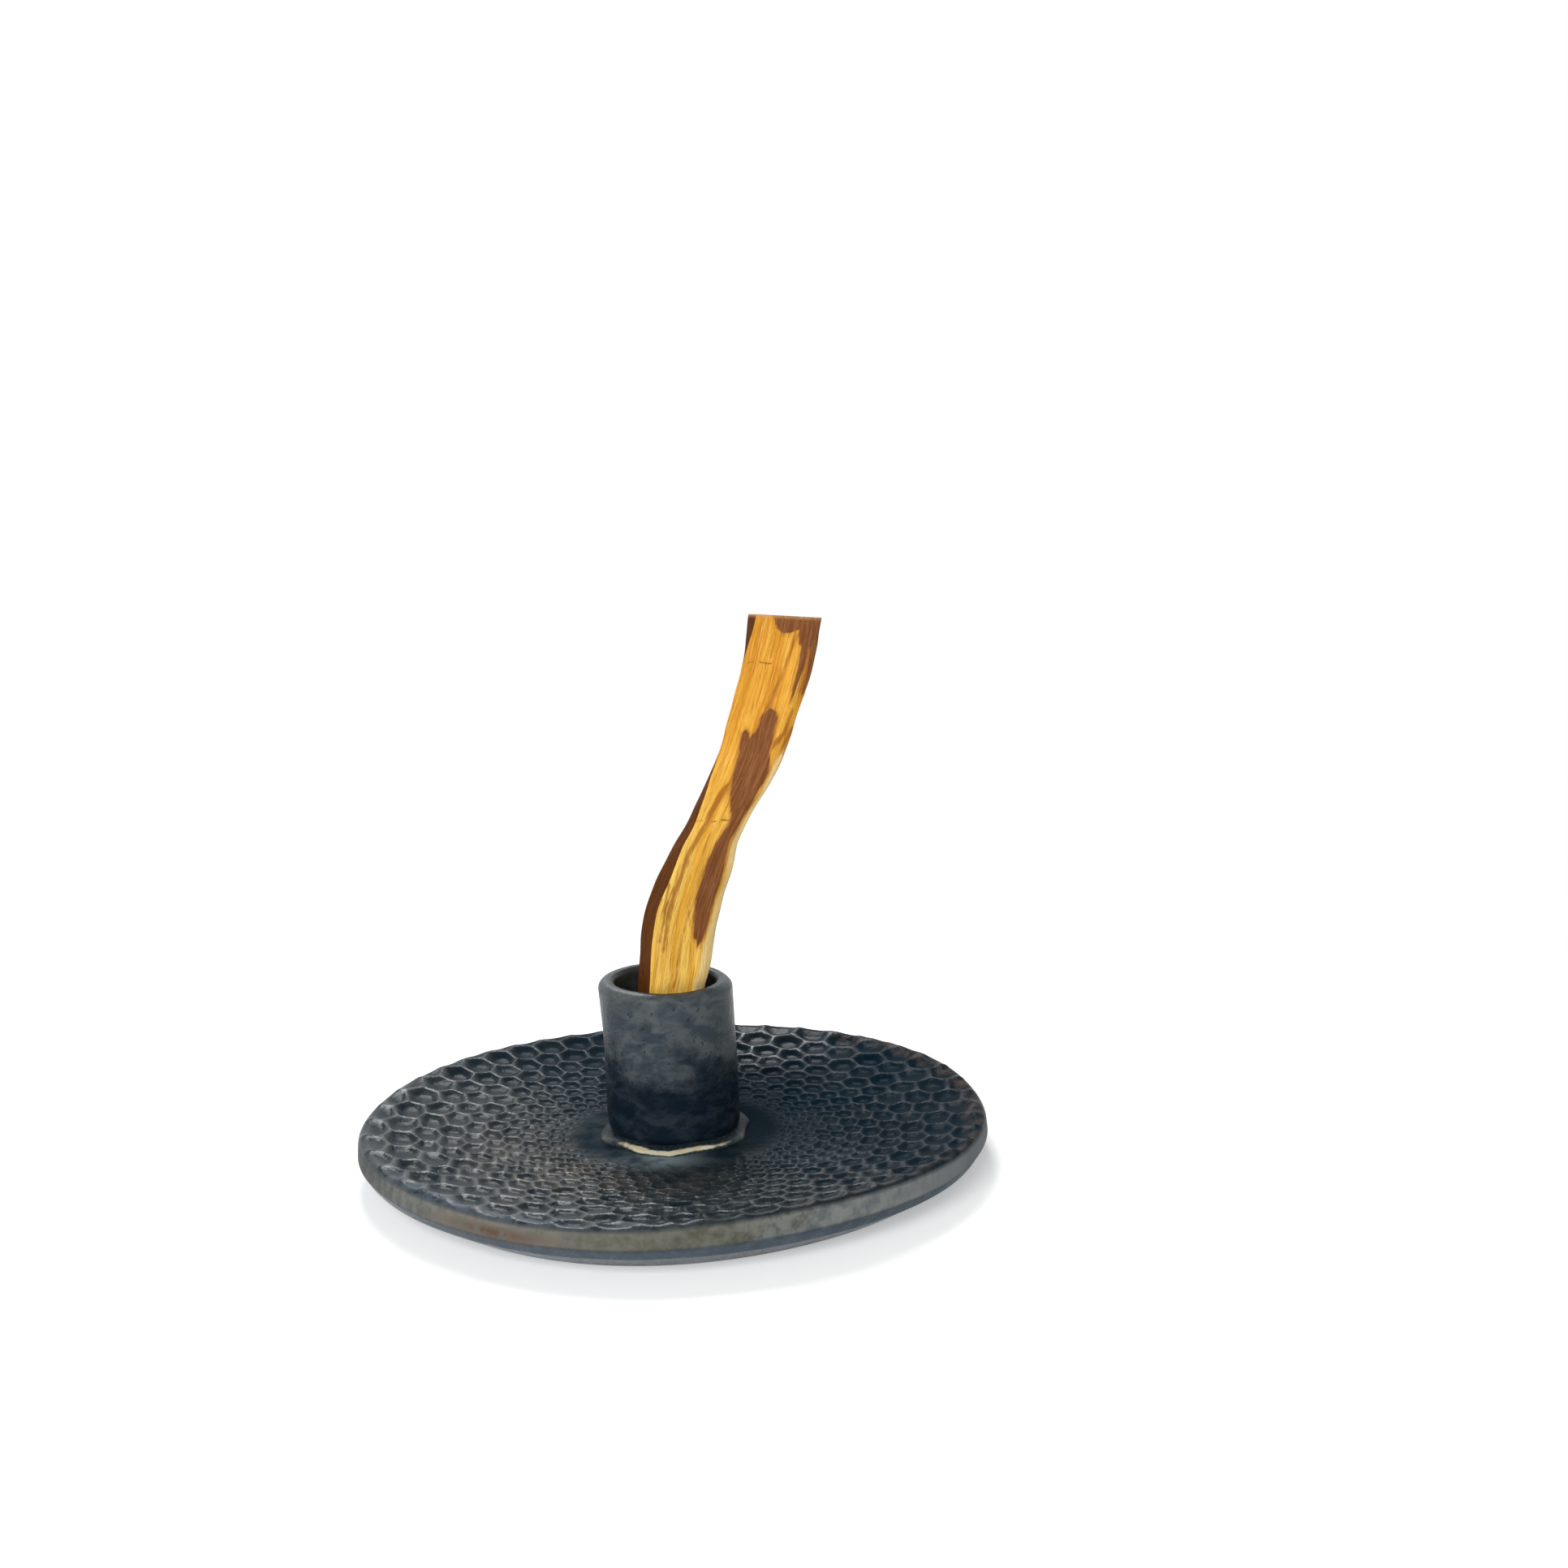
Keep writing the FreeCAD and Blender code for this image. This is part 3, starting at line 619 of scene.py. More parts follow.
def make_cup(material):
    bore = CUP_RADIUS - CUP_WALL
    foot = FLOOR_HEIGHT - CUP_SINK
    lip = rounded_chain([
        (bore, foot, 0),
        (CUP_RADIUS - CUP_TAPER, foot, CUP_FOOT_ROUND),
        (CUP_RADIUS + LIP_FLARE, CUP_TOP, LIP_OUTER_ROUND),
        (bore + BORE_FLARE, CUP_TOP, LIP_INNER_ROUND),
        (bore, foot, 0),
    ], LIP_ARC_STEPS)
    profile = filled_chain(lip, CUP_STEP)[:-1]
    around = np.arange(CUP_COLUMNS) * 2 * math.pi / CUP_COLUMNS
    cosine, sine = np.cos(around), np.sin(around)
    radius = np.repeat(profile[:, :1], CUP_COLUMNS, axis=1)
    height = np.repeat(profile[:, 1:], CUP_COLUMNS, axis=1)
    inside = radius < CUP_RADIUS - CUP_WALL / 2
    share = (height - FLOOR_HEIGHT) / (CUP_TOP - FLOOR_HEIGHT)
    lip_tilt = LIP_TILT_BACK * sine - LIP_TILT_LEFT * cosine - LIP_DROP
    height += lip_tilt * smooth_step(*TILT_SPAN, share)
    points = np.stack([radius * cosine, radius * sine, height], axis=-1)
    sway = unevenness(points, *CUP_SWAY) * smooth_step(*CUP_SWAY_SPAN, share)
    sway *= np.where(inside, BORE_SWAY_SHARE, 1.0)
    points[..., 0] += sway * cosine
    points[..., 1] += sway * sine
    points[..., 2] += unevenness(points, *LIP_SWAY) * smooth_step(*LIP_SWAY_SPAN, share)
    points[..., 0] -= math.tan(CUP_LEAN) * (points[..., 2] - FLOOR_HEIGHT)
    masks = {
        "tall": np.clip(share, 0, TALLEST).ravel(),
        "lip": smooth_step(*LIP_PAINT, share).ravel(),
        "inside": inside.astype(float).ravel(),
    }
    faces = grid_faces(len(profile), CUP_COLUMNS, closed=True)
    return new_piece("holder_tube", points.reshape(-1, 3), faces, masks, material)


def cup_glaze():
    """Smoky charcoal glaze, clouded lighter towards the lip and blue-black below."""
    look = Look("cup_glaze_look")
    blend, span, noise, product, mask = look.blend, look.span, look.noise, look.product, look.attribute
    place = look.place()
    clouds = noise(place, 95, 4, 0.6, 0.6)
    smudges = noise(look.stretched(place, (1, 1, 1.7)), 210, 4, 0.6, 0.5)
    mottle = noise(place, 620, 5, 0.62)
    specks = noise(place, 1700, 2)
    uneven = product(look.number("SUBTRACT", clouds, 0.5), 0.9)
    level = look.number("ADD", mask("tall"), uneven)
    smoke = blend(span(smudges, 0.36, 0.64), (0.036, 0.052, 0.066), (0.094, 0.106, 0.112))
    smoke = blend(span(mottle, 0.45, 0.75, 0, 0.5), smoke, (0.040, 0.046, 0.050))
    ink = blend(span(smudges, 0.42, 0.68), (0.005, 0.012, 0.021), (0.022, 0.033, 0.044))
    colour = blend(span(level, 0.36, 0.70), ink, smoke)
    pits = span(noise(place, 900, 1), 0.66, 0.72)
    colour = blend(product(pits, 0.6), colour, (0.008, 0.010, 0.012))
    worn = product(mask("lip"), span(mottle, 0.3, 0.6, 0.1, 0.5))
    colour = blend(worn, colour, (0.070, 0.076, 0.080))
    colour = blend(product(mask("inside"), 0.75), colour, (0.010, 0.013, 0.016))
    look.set("Base Color", colour)
    look.set("Roughness", span(smudges, 0.3, 0.7, 0.28, 0.44))
    look.set("Specular IOR Level", 0.12)
    look.set("Normal", look.relief(mottle, 0.0003, 0.5, look.relief(specks, 0.0001, 0.5)))
    return look.material


# Slip bead: six soft flats round the cup, run out towards the front
BEAD_COLUMNS = 240
BEAD_STEPS = 14
BEAD_FLATS = 6
BEAD_TURN = math.radians(-104)
BEAD_APOTHEM, BEAD_CORNER, BEAD_INNER = 14.5, 15.4, 11.6
BEAD_HEIGHT, BEAD_CROWN = 1.45, 0.8
BEAD_RUN, RUN_MIDDLE, RUN_REACH = 1.2, math.radians(-94), 1.0
BEAD_SINK, BEAD_ROOT, BEAD_TUCK = 0.15, 0.5, 0.98
BEAD_RIPPLE_RADIUS = 14
# Hand-made unevenness, as height, length and seed
BEAD_WOBBLE = (0.22, 9, 31)
BEAD_SWELL = (0.25, 11, 32)
BEAD_SOFTENING = 4
# Where the painted highlight line and the painted corner sheen lie across the bead, and the two corners that
# get the sheen
HIGHLIGHT_MIDDLE, HIGHLIGHT_REACH = 0.66, 0.24
SHEEN_MIDDLE, SHEEN_REACH = 0.75, 0.35
SHEEN_CORNERS = [(math.radians(-162), 0.16), (math.radians(-30), 0.25)]


def make_bead(material):
    around = np.arange(BEAD_COLUMNS) * 2 * math.pi / BEAD_COLUMNS
    cosine, sine = np.cos(around), np.sin(around)
    ring = BEAD_RIPPLE_RADIUS * np.stack([cosine, sine, np.zeros(BEAD_COLUMNS)], axis=-1)
    half_flat = math.pi / BEAD_FLATS
    from_flat = (around - BEAD_TURN) % (2 * half_flat) - half_flat
    outer = np.minimum(BEAD_APOTHEM / np.cos(from_flat), BEAD_CORNER)
    outer += unevenness(ring, *BEAD_WOBBLE)
    front = bump(turn_between(around, RUN_MIDDLE), 0, RUN_REACH)
    outer = softened(outer, BEAD_SOFTENING) + BEAD_RUN * front
    tall = BEAD_HEIGHT + unevenness(ring, *BEAD_SWELL)

    # Rows from the cup's wall over the crown to the floor, then one under the edge and one under the wall
    steps = np.linspace(0, 1, BEAD_STEPS)
    quarter = (steps * math.pi / 2)[:, None]
    reach = BEAD_INNER + (outer - BEAD_INNER) * np.sin(quarter)
    rise = FLOOR_HEIGHT - BEAD_SINK + tall * np.cos(quarter) ** BEAD_CROWN
    reach = np.concatenate([reach, [outer * BEAD_TUCK, np.full(BEAD_COLUMNS, BEAD_INNER)]])
    rise = np.concatenate([rise, np.full((2, BEAD_COLUMNS), FLOOR_HEIGHT - BEAD_ROOT)])
    points = np.stack([reach * cosine, reach * sine, rise], axis=-1).reshape(-1, 3)
    faces = [face[::-1] for face in grid_faces(len(reach), BEAD_COLUMNS, closed=True)]
    highlight_line = np.concatenate([bump(steps, HIGHLIGHT_MIDDLE, HIGHLIGHT_REACH), [0, 0]])
    corner_sheen = np.concatenate([bump(steps, SHEEN_MIDDLE, SHEEN_REACH), [0, 0]])
    corners = sum(bump(turn_between(around, middle), 0, width) for middle, width in SHEEN_CORNERS)
    masks = {
        "highlight_line": np.outer(highlight_line, front).ravel(),
        "corner_sheen": np.outer(corner_sheen, corners).ravel(),
    }
    return new_piece("luting_slip", points, faces, masks, material)


def slip_glaze():
    """Dark bead of slip with a painted highlight in cream and gold along its front edge, and a painted grey
    sheen at two of its corners.
    """
    look = Look("slip_glaze_look")
    blend, span, noise, product, mask = look.blend, look.span, look.noise, look.product, look.attribute
    place = look.place()
    patches = noise(place, 420, 3)
    specks = noise(place, 1500, 3)
    tint = noise(place, 200, 2)
    # Painted highlight: the bead is painted cream and gold along its front edge, for the bright line of light
    # on it
    shown = mask("highlight_line")
    highlight_line = blend(span(tint, 0.4, 0.6), (0.74, 0.70, 0.50), (0.62, 0.50, 0.30))
    highlight_line = blend(span(specks, 0.5, 0.7, 0, 0.7), highlight_line, (0.54, 0.60, 0.58))
    dark = blend(span(specks, 0.35, 0.7), (0.010, 0.018, 0.025), (0.034, 0.044, 0.048))
    # Painted sheen: paler grey at two corners of the bead
    corner_sheen = product(mask("corner_sheen"), span(patches, 0.35, 0.65, 0.1, 0.8))
    dark = blend(corner_sheen, dark, (0.085, 0.098, 0.094))
    uneven = product(look.number("SUBTRACT", patches, 0.5), 0.8)
    cover = look.number("ADD", shown, uneven)
    look.set("Base Color", blend(span(cover, 0.45, 0.80), dark, highlight_line))
    look.set("Roughness", span(specks, 0.3, 0.7, 0.24, 0.40))
    look.set("Specular IOR Level", span(shown, 0.1, 0.8, 0.02, 0.5))
    look.set("Normal", look.relief(specks, 0.0002, 0.5))
    return look.material


# Stick: stations up its length, as height, left edge and right edge of what shows from the front
STICK_STATIONS = [
    (5.4, -4.1, 5.7), (20.0, -5.2, 6.3), (35.4, -6.2, 6.7), (40.0, -5.85, 8.0),
    (45.2, -5.35, 8.9), (52.0, -3.9, 10.4), (58.6, -1.1, 12.5), (64.0, 1.9, 13.9),
    (68.3, 4.7, 15.9), (72.0, 6.4, 18.1), (76.0, 8.4, 20.7), (80.4, 10.6, 23.0),
    (88.0, 13.1, 25.8), (99.2, 16.3, 29.6), (108.6, 17.4, 31.3),
]
STICK_DEPTH = 8.0
STICK_MIDDLE_Y = -3.5
STATION_Y = -7.0
STICK_ROWS = 420
EDGE_COLUMNS = [46, 10, 18, 40, 26]  # on the front, the bevel, the right, the back and the left
FRONT_EDGE, BEVEL_EDGE, LEFT_EDGE = 0, 1, 4
BEVEL_WIDTH, BEVEL_DEPTH = 2.2, 1.1
CORNER_LOSS = 0.18
EDGE_SOFTENING = 2
TOP_SLOPE, TOP_SLOPE_RUN = 0.08, 8
NO_BARK = -40  # so low in the middle of a sawn end that the bark stops at its border
# Turn of the stick's broad face, as height and degrees
STICK_TURNS = [
    (5.4, 16.4), (50.0, 16.2), (60.0, 14.5), (65.0, 9.5), (68.7, 6.5),
    (72.3, 4.5), (75.4, 2.3), (79.0, -1.5), (84.0, -3.0), (97.0, -3.0),
    (101.0, -1.5), (105.0, 4.0), (108.6, 7.5),
]
# Dark heartwood: rows of height, left border and right border as shares of the width that shows
HEART_PATCH = [
    (44.3, 0.765, 0.785), (45.0, 0.735, 0.81), (46.3, 0.69, 0.838), (48.0, 0.667, 0.86),
    (50.0, 0.645, 0.876), (53.0, 0.618, 0.887), (59.0, 0.598, 0.872), (65.0, 0.64, 0.858),
    (69.6, 0.665, 0.885), (71.3, 0.573, 0.892), (74.4, 0.428, 0.86), (77.5, 0.347, 0.88),
    (79.0, 0.318, 0.862), (80.3, 0.30, 0.81), (81.6, 0.284, 0.772), (83.7, 0.30, 0.75),
    (85.0, 0.39, 0.737), (86.8, 0.455, 0.725), (88.9, 0.475, 0.705), (89.8, 0.505, 0.65),
    (90.5, 0.535, 0.56),
]
HEART_LOBE = [
    (80.0, 0.305, 0.45), (83.0, 0.262, 0.42), (85.0, 0.243, 0.37), (86.0, 0.25, 0.345),
    (86.4, 0.28, 0.32),
]
TOP_RIGHT_PATCH = [
    (91.8, 0.835, 0.85), (94.0, 0.80, 0.86), (97.0, 0.785, 0.87), (100.0, 0.775, 0.885),
    (102.0, 0.775, 0.90), (103.5, 0.745, 1.02), (109.0, 0.70, 1.05),
]
TOP_EDGE_PATCH = [(93.0, 0.955, 0.985), (96.0, 0.935, 1.0), (99.5, 0.915, 1.02), (105.0, 0.89, 1.05)]
TOP_PATCH = [
    (105.2, 0.50, 0.60), (105.8, 0.43, 0.70), (106.3, 0.406, 0.80), (107.6, 0.365, 1.0),
    (109.2, 0.33, 1.05),
]
DARK_PATCHES = [HEART_PATCH, HEART_LOBE, TOP_RIGHT_PATCH, TOP_EDGE_PATCH, TOP_PATCH]
# Brown stains with soft borders, in the same way
SOFT_PATCHES = [
    [(44.0, 0.3, 0.335), (55.0, 0.26, 0.335), (66.0, 0.235, 0.32), (72.0, 0.245, 0.325), (76.0, 0.29, 0.345)],
    [(46.0, 0.235, 0.25), (51.0, 0.235, 0.265), (55.0, 0.19, 0.22), (57.0, 0.155, 0.185)],
    [(36.5, 0.505, 0.518), (44.0, 0.53, 0.542), (51.0, 0.575, 0.585)],
    [(90.5, 0.50, 0.55), (96.2, 0.555, 0.59), (99.3, 0.60, 0.635), (105.0, 0.69, 0.73)],
    [(82.6, 0.76, 0.80), (84.0, 0.77, 0.86), (85.5, 0.85, 0.92), (87.0, 0.89, 0.93), (90.0, 0.90, 0.925)],
    [(81.5, 0.94, 0.97), (84.0, 0.93, 0.985), (86.5, 0.97, 1.02)],
    [(93.5, 0.91, 0.97), (97.0, 0.89, 1.0), (101.0, 0.88, 1.03), (105.0, 0.88, 1.05)],
]
# Left border of the pale edge, as height and share of the width that shows
PALE_BORDER = [
    (5.4, 0.79), (38.0, 0.79), (44.0, 0.83), (48.0, 0.87), (55.0, 0.90),
    (66.0, 0.87), (72.0, 0.90), (80.0, 0.885), (84.0, 0.96), (108.6, 1.05),
]
PALE_FADE = 0.06
BARK_END, BARK_START = 78.5, 99.4  # the bark on the left side is worn off between these heights
BARK_END_SLANT, BARK_START_SLANT = 1.2, 0.5
BARK_STEEPNESS, BARK_REACH = 0.3, 1.5
# Cracks across the grain, as height and dashes from and to across the width, with their strength
CRACKS = [
    (99.2, [(0.04, 0.16, 0.5), (0.19, 0.42, 0.7)]),
    (68.8, [(0.04, 0.24, 0.5), (0.35, 0.46, 1.0), (0.50, 0.68, 1.0)]),
]
DASH_FADE = 0.03
CUT_EDGE, CUT_MIDDLE = 0.8, 0.3
LOW_SPAN = (84, 56)  # heights between which the gold turns lighter
CRACK_DEPTH, CRACK_WIDTH, CRACK_REACH = 0.15, 0.25, 3.0
CRACK_WANDER, CRACK_STRETCH = (0.3, 3, 43), 9
STAIN_REACH = 3.0
PATCH_END = 0.6  # how fast a patch ends above and below its rows
# Split-wood relief, as stretch of the pattern, and height, length, seed and number of its ripples
WOOD_RELIEF = [
    ((3.2, 3.2, 0.12), (0.05, 4, 41, 20)),
    ((1.0, 1.0, 0.7), (0.11, 9, 42, 12)),
    ((0.5, 0.5, 0.96), (0.07, 3.5, 44, 12)),
]


def eased(heights, table, column):
    """Smooth curve through the rows of a table, by height."""
    rows = np.array(table, float)
    places, values = rows[:, 0], rows[:, column]
    slopes = np.gradient(values, places)
    index = np.clip(np.searchsorted(places, heights) - 1, 0, len(places) - 2)
    width = places[index + 1] - places[index]
    share = np.clip((heights - places[index]) / width, 0, 1)
    start, finish = values[index], values[index + 1]
    pull_start, pull_finish = slopes[index] * width, slopes[index + 1] * width
    rest = share - 1
    return (
        (1 + 2 * share) * rest ** 2 * start
        + share * rest ** 2 * pull_start
        + share ** 2 * (3 - 2 * share) * finish
        + share ** 2 * rest * pull_finish
    )


def patch_field(heights, across, widths, table):
    """Millimetres inside (positive) or outside a patch of dark wood."""
    rows = np.array(table, float)
    left = eased(heights, table, 1)
    right = eased(heights, table, 2)
    inside = np.minimum(across - left, right - across) * widths
    beyond = np.maximum(rows[0, 0] - heights, heights - rows[-1, 0])
    return np.where(beyond > 0, np.minimum(inside, -PATCH_END * beyond), inside)


def section_ring(width, depth):
    """Outline of a section of the stick, from its front left corner round to the right."""
    half, deep = width / 2, depth / 2
    corners = [
        (-half, -deep),
        (half - BEVEL_WIDTH, -deep),
        (half, -deep + BEVEL_DEPTH),
        (half, deep),
        (-half, deep),
    ]
    edges = []
    for count, start, finish in zip(EDGE_COLUMNS, corners, corners[1:] + corners[:1]):
        edges.append(np.linspace(start, finish, count, endpoint=False))
    return softened(np.concatenate(edges), EDGE_SOFTENING)


def make_stick(material):
    heights = np.linspace(STICK_FOOT, STICK_TOP, STICK_ROWS)[:, None]
    turns = np.radians(eased(heights, STICK_TURNS, 1))
    cosine, sine = np.cos(turns), np.sin(turns)
    lefts = eased(heights, STICK_STATIONS, 1) - CORNER_LOSS
    rights = eased(heights, STICK_STATIONS, 2) + CORNER_LOSS
    shown = rights - lefts

    # The edges that show are the back left corner and the bevel, each carried along its line of sight
    back = STICK_DEPTH / 2
    sight = STATION_Y - EYE.y
    left_y = STICK_MIDDLE_Y + back - shown / 2 * sine
    right_y = STICK_MIDDLE_Y - back + BEVEL_DEPTH + shown / 2 * sine
    left_corner = lefts * (1 + (left_y - STATION_Y) / sight)
    right_corner = rights * (1 + (right_y - STATION_Y) / sight)
    faces_wide = (right_corner - left_corner - (STICK_DEPTH - BEVEL_DEPTH) * sine) / cosine
    middles = (left_corner + right_corner + BEVEL_DEPTH * sine) / 2
    local = np.stack([section_ring(width, STICK_DEPTH) for width in faces_wide.ravel()])
    edge_of = np.repeat(np.arange(len(EDGE_COLUMNS)), EDGE_COLUMNS)
    columns = len(edge_of)

    def placed(section):
        """The x and y of section points, turned and moved to where the stick bends."""
        x = section[..., 0] * cosine - section[..., 1] * sine + middles
        y = section[..., 0] * sine + section[..., 1] * cosine + STICK_MIDDLE_Y
        return x, y

    def along_stick(section):
        """Section points with their height up the stick, before it is turned."""
        rising = np.broadcast_to(heights, section.shape[:2])
        return np.concatenate([section, rising[..., None]], axis=-1)

    side_place, depth_place = placed(local)
    seen_place = side_place / (1 + (depth_place - STATION_Y) / sight)
    across = (seen_place - lefts) / shown

    # Split-wood relief: grooves along the grain, a slow waver of the faces and cracks across the front
    relief = np.zeros(across.shape)
    for stretch, ripples in WOOD_RELIEF:
        relief += unevenness(along_stick(local) * np.array(stretch), *ripples)
    crack_place = across[..., None] * np.array([CRACK_STRETCH, 0, 0])
    wander = unevenness(crack_place, *CRACK_WANDER)
    crack_far = np.full(across.shape, CRACK_REACH)
    crack_span = np.zeros(across.shape)
    for crack_height, dashes in CRACKS:
        away = heights + wander - crack_height
        near = np.abs(away) < CRACK_REACH
        crack_far = np.where(near, away, crack_far)
        near = near & (edge_of == FRONT_EDGE)
        for start, finish, strength in dashes:
            opened = smooth_step(start, start + DASH_FADE, across)
            opened *= smooth_step(finish, finish - DASH_FADE, across)
            crack_span = np.maximum(crack_span, strength * opened * near)
    relief -= CRACK_DEPTH * bump(crack_far, 0, CRACK_WIDTH) * crack_span
    outward = local / np.linalg.norm(local, axis=-1, keepdims=True)
    local = local + outward * relief[..., None]
    from_left = np.maximum(local[..., 0] + faces_wide / 2, 0)
    slope = TOP_SLOPE * from_left * smooth_step(STICK_TOP - TOP_SLOPE_RUN, STICK_TOP, heights)
    points = np.stack([*placed(local), heights - slope], axis=-1).reshape(-1, 3)

    # What the wood needs to know of each point: first the sides, then the middles of the two ends
    def stains(tables):
        fields = [patch_field(heights, across, shown, table) for table in tables]
        return np.clip(np.maximum.reduce(fields), -STAIN_REACH, STAIN_REACH)

    def with_ends(field, at_foot, at_top):
        return np.concatenate([np.broadcast_to(field, across.shape).ravel(), [at_foot, at_top]])

    from_front = local[..., 1] + STICK_DEPTH / 2
    below = BARK_END + BARK_END_SLANT * from_front - heights
    above = heights - BARK_START + BARK_START_SLANT * from_front
    bark = np.clip(np.maximum(below, above) * BARK_STEEPNESS, -BARK_REACH, BARK_REACH)
    bark = np.where(edge_of == LEFT_EDGE, bark, -BARK_REACH)
    pale_border = eased(heights, PALE_BORDER, 1)
    pale = smooth_step(pale_border, pale_border + PALE_FADE, across) * (edge_of <= BEVEL_EDGE)
    end_grain = [[0, 0, STICK_FOOT], [0, 0, STICK_TOP]]
    masks = {
        "stain": with_ends(stains(DARK_PATCHES), -1, 1),
        "soft": with_ends(stains(SOFT_PATCHES), -1, -1),
        "bark": with_ends(bark, NO_BARK, NO_BARK),
        "crack": with_ends(crack_far, CRACK_REACH, CRACK_REACH),
        "crack_span": with_ends(crack_span, 0, 0),
        "pale": with_ends(pale, 0, 0),
        "low": with_ends(smooth_step(*LOW_SPAN, heights), 1, 0),
        "cut": with_ends(smooth_step(STICK_TOP - CUT_EDGE, STICK_TOP, heights), 0, CUT_MIDDLE),
        "grain": np.concatenate([along_stick(local).reshape(-1, 3), end_grain]),
    }

    # The sides, then the two sawn ends, which stay flat
    faces = grid_faces(STICK_ROWS, columns)
    last = (STICK_ROWS - 1) * columns
    foot_middle, top_middle = len(points), len(points) + 1
    ends = [points[:columns].mean(axis=0), points[last:].mean(axis=0)]
    for column in range(columns):
        following = (column + 1) % columns
        faces.append((foot_middle, following, column))
        faces.append((top_middle, last + column, last + following))
    points = np.concatenate([points, ends])
    return new_piece("split_stick", points, faces, masks, material, flat_faces=2 * columns)


def stick_wood():
    """Golden split wood with fine lengthwise grain and dark resinous heartwood."""
    look = Look("stick_wood_look")
    blend, span, noise, product, mask = look.blend, look.span, look.noise, look.product, look.attribute
    grain = mask("grain", "Vector")
    fibre = noise(look.stretched(grain, (3.2, 3.2, 0.12)), 1.0, 5, 0.65, 0.3)
    bands = noise(look.stretched(grain, (0.75, 0.75, 0.024)), 1.0, 3, 0.5, 0.4)
    threads = noise(look.stretched(grain, (4.6, 4.6, 0.05)), 1.0, 3, 0.55, 0.2)
    flecks = noise(look.stretched(grain, (5.0, 5.0, 0.6)), 1.0, 3)
    ragged = noise(look.stretched(grain, (2.0, 2.0, 0.30)), 1.0, 4)
    wander = look.number("SUBTRACT", ragged, 0.5)
    in_bands = span(bands, 0.36, 0.64)
    in_fibre = span(fibre, 0.35, 0.65)

    # Gold with its fibres, threads and pale edge
    top = blend(in_bands, (0.660, 0.275, 0.028), (0.860, 0.440, 0.062))
    low = blend(in_bands, (0.820, 0.410, 0.048), (0.960, 0.620, 0.130))
    gold = blend(mask("low"), top, low)
    gold = blend(span(fibre, 0.50, 0.68, 0, 0.65), gold, (0.440, 0.160, 0.018))
    gold = blend(span(fibre, 0.46, 0.30, 0, 0.6), gold, (0.950, 0.640, 0.190))
    gold = blend(span(threads, 0.57, 0.66, 0, 0.65), gold, (0.420, 0.160, 0.022))
    pale = product(mask("pale"), span(fibre, 0.30, 0.60, 1.0, 0.6))
    gold = blend(pale, gold, (0.960, 0.750, 0.360))

    # Stains, heartwood and bark, with borders that stray along the grain
    soft = look.number("ADD", mask("soft"), product(wander, 1.6))
    gold = blend(span(soft, -0.40, 0.30, 0, 0.85), gold, (0.370, 0.130, 0.022))
    edge = look.number("ADD", mask("stain"), product(wander, 1.3))
    halo = blend(span(edge, -0.8, 0.1, 0, 0.6), gold, (0.430, 0.150, 0.026))
    heart = blend(in_fibre, (0.180, 0.060, 0.020), (0.290, 0.118, 0.045))
    heart = blend(span(flecks, 0.60, 0.72, 0, 0.5), heart, (0.420, 0.200, 0.090))
    colour = blend(span(edge, -0.15, 0.22), halo, heart)
    side = look.number("ADD", mask("bark"), product(wander, 2.2))
    rind = blend(in_fibre, (0.066, 0.019, 0.004), (0.150, 0.051, 0.011))
    colour = blend(span(side, -0.2, 0.2), colour, rind)

    # Flecks, cracks and the sawn top
    colour = blend(span(flecks, 0.40, 0.28, 0, 0.4), colour, (0.200, 0.080, 0.020))
    stray = product(look.number("SUBTRACT", flecks, 0.5), 0.7)
    crack = look.number("ADD", mask("crack"), stray)
    split = span(look.number("ABSOLUTE", crack), 0.05, 0.20, 1.0, 0.0)
    split = product(split, mask("crack_span"))
    split = product(split, span(fibre, 0.36, 0.52, 0.2, 0.9))
    colour = blend(split, colour, (0.085, 0.034, 0.012))
    cut = product(mask("cut"), span(fibre, 0.35, 0.60, 0.9, 0.4))
    look.set("Base Color", blend(cut, colour, (0.640, 0.380, 0.160)))
    look.set("Roughness", span(fibre, 0.3, 0.7, 0.55, 0.72))
    look.set("Specular IOR Level", 0.012)
    look.set("Normal", look.relief(fibre, 0.0003, 0.6, look.relief(flecks, 0.0002, 0.4)))
    return look.material


# Stage: floor, world, lamps and camera, in metres
WHITE = (1, 1, 1, 1)
FLOOR_SIZE = 6.0
FLOOR_COLOUR = (0.86, 0.87, 0.87, 1.0)
FLOOR_LIFT = 0.37
FLOOR_FADE = (0.10, 0.32)  # distances over which the floor turns white
WORLD_LIGHT = 0.5
CEILING_LIGHT = 0.3
CEILING_SPAN = (0.40, 0.75)  # heights of a direction over which the world dims
# Soft boxes, as name, place, width and power
LAMPS = [
    ("key_box", (-0.08, 0.53, 0.67), 0.34, 5.8),
    ("front_box", (-0.35, -0.85, 0.55), 0.6, 8.0),
]
LAMP_TARGET = Vector((0, 0, 0.04))
PITCH, YAW, ROLL = math.radians(6.396), math.radians(4.372), math.radians(-1.537)
PHOTO_WIDTH, FOCAL_PIXELS = 1932, 1950
SENSOR = 36.0
CLIP_START = 0.01


def seen_share(nodes):
    """1 for rays that show the background: from the camera, in gloss and through glass."""
    path = nodes.add("ShaderNodeLightPath")
    total = path.outputs["Is Camera Ray"]
    for name in ("Is Glossy Ray", "Is Transmission Ray"):
        total = nodes.number("MAXIMUM", total, path.outputs[name])
    return total


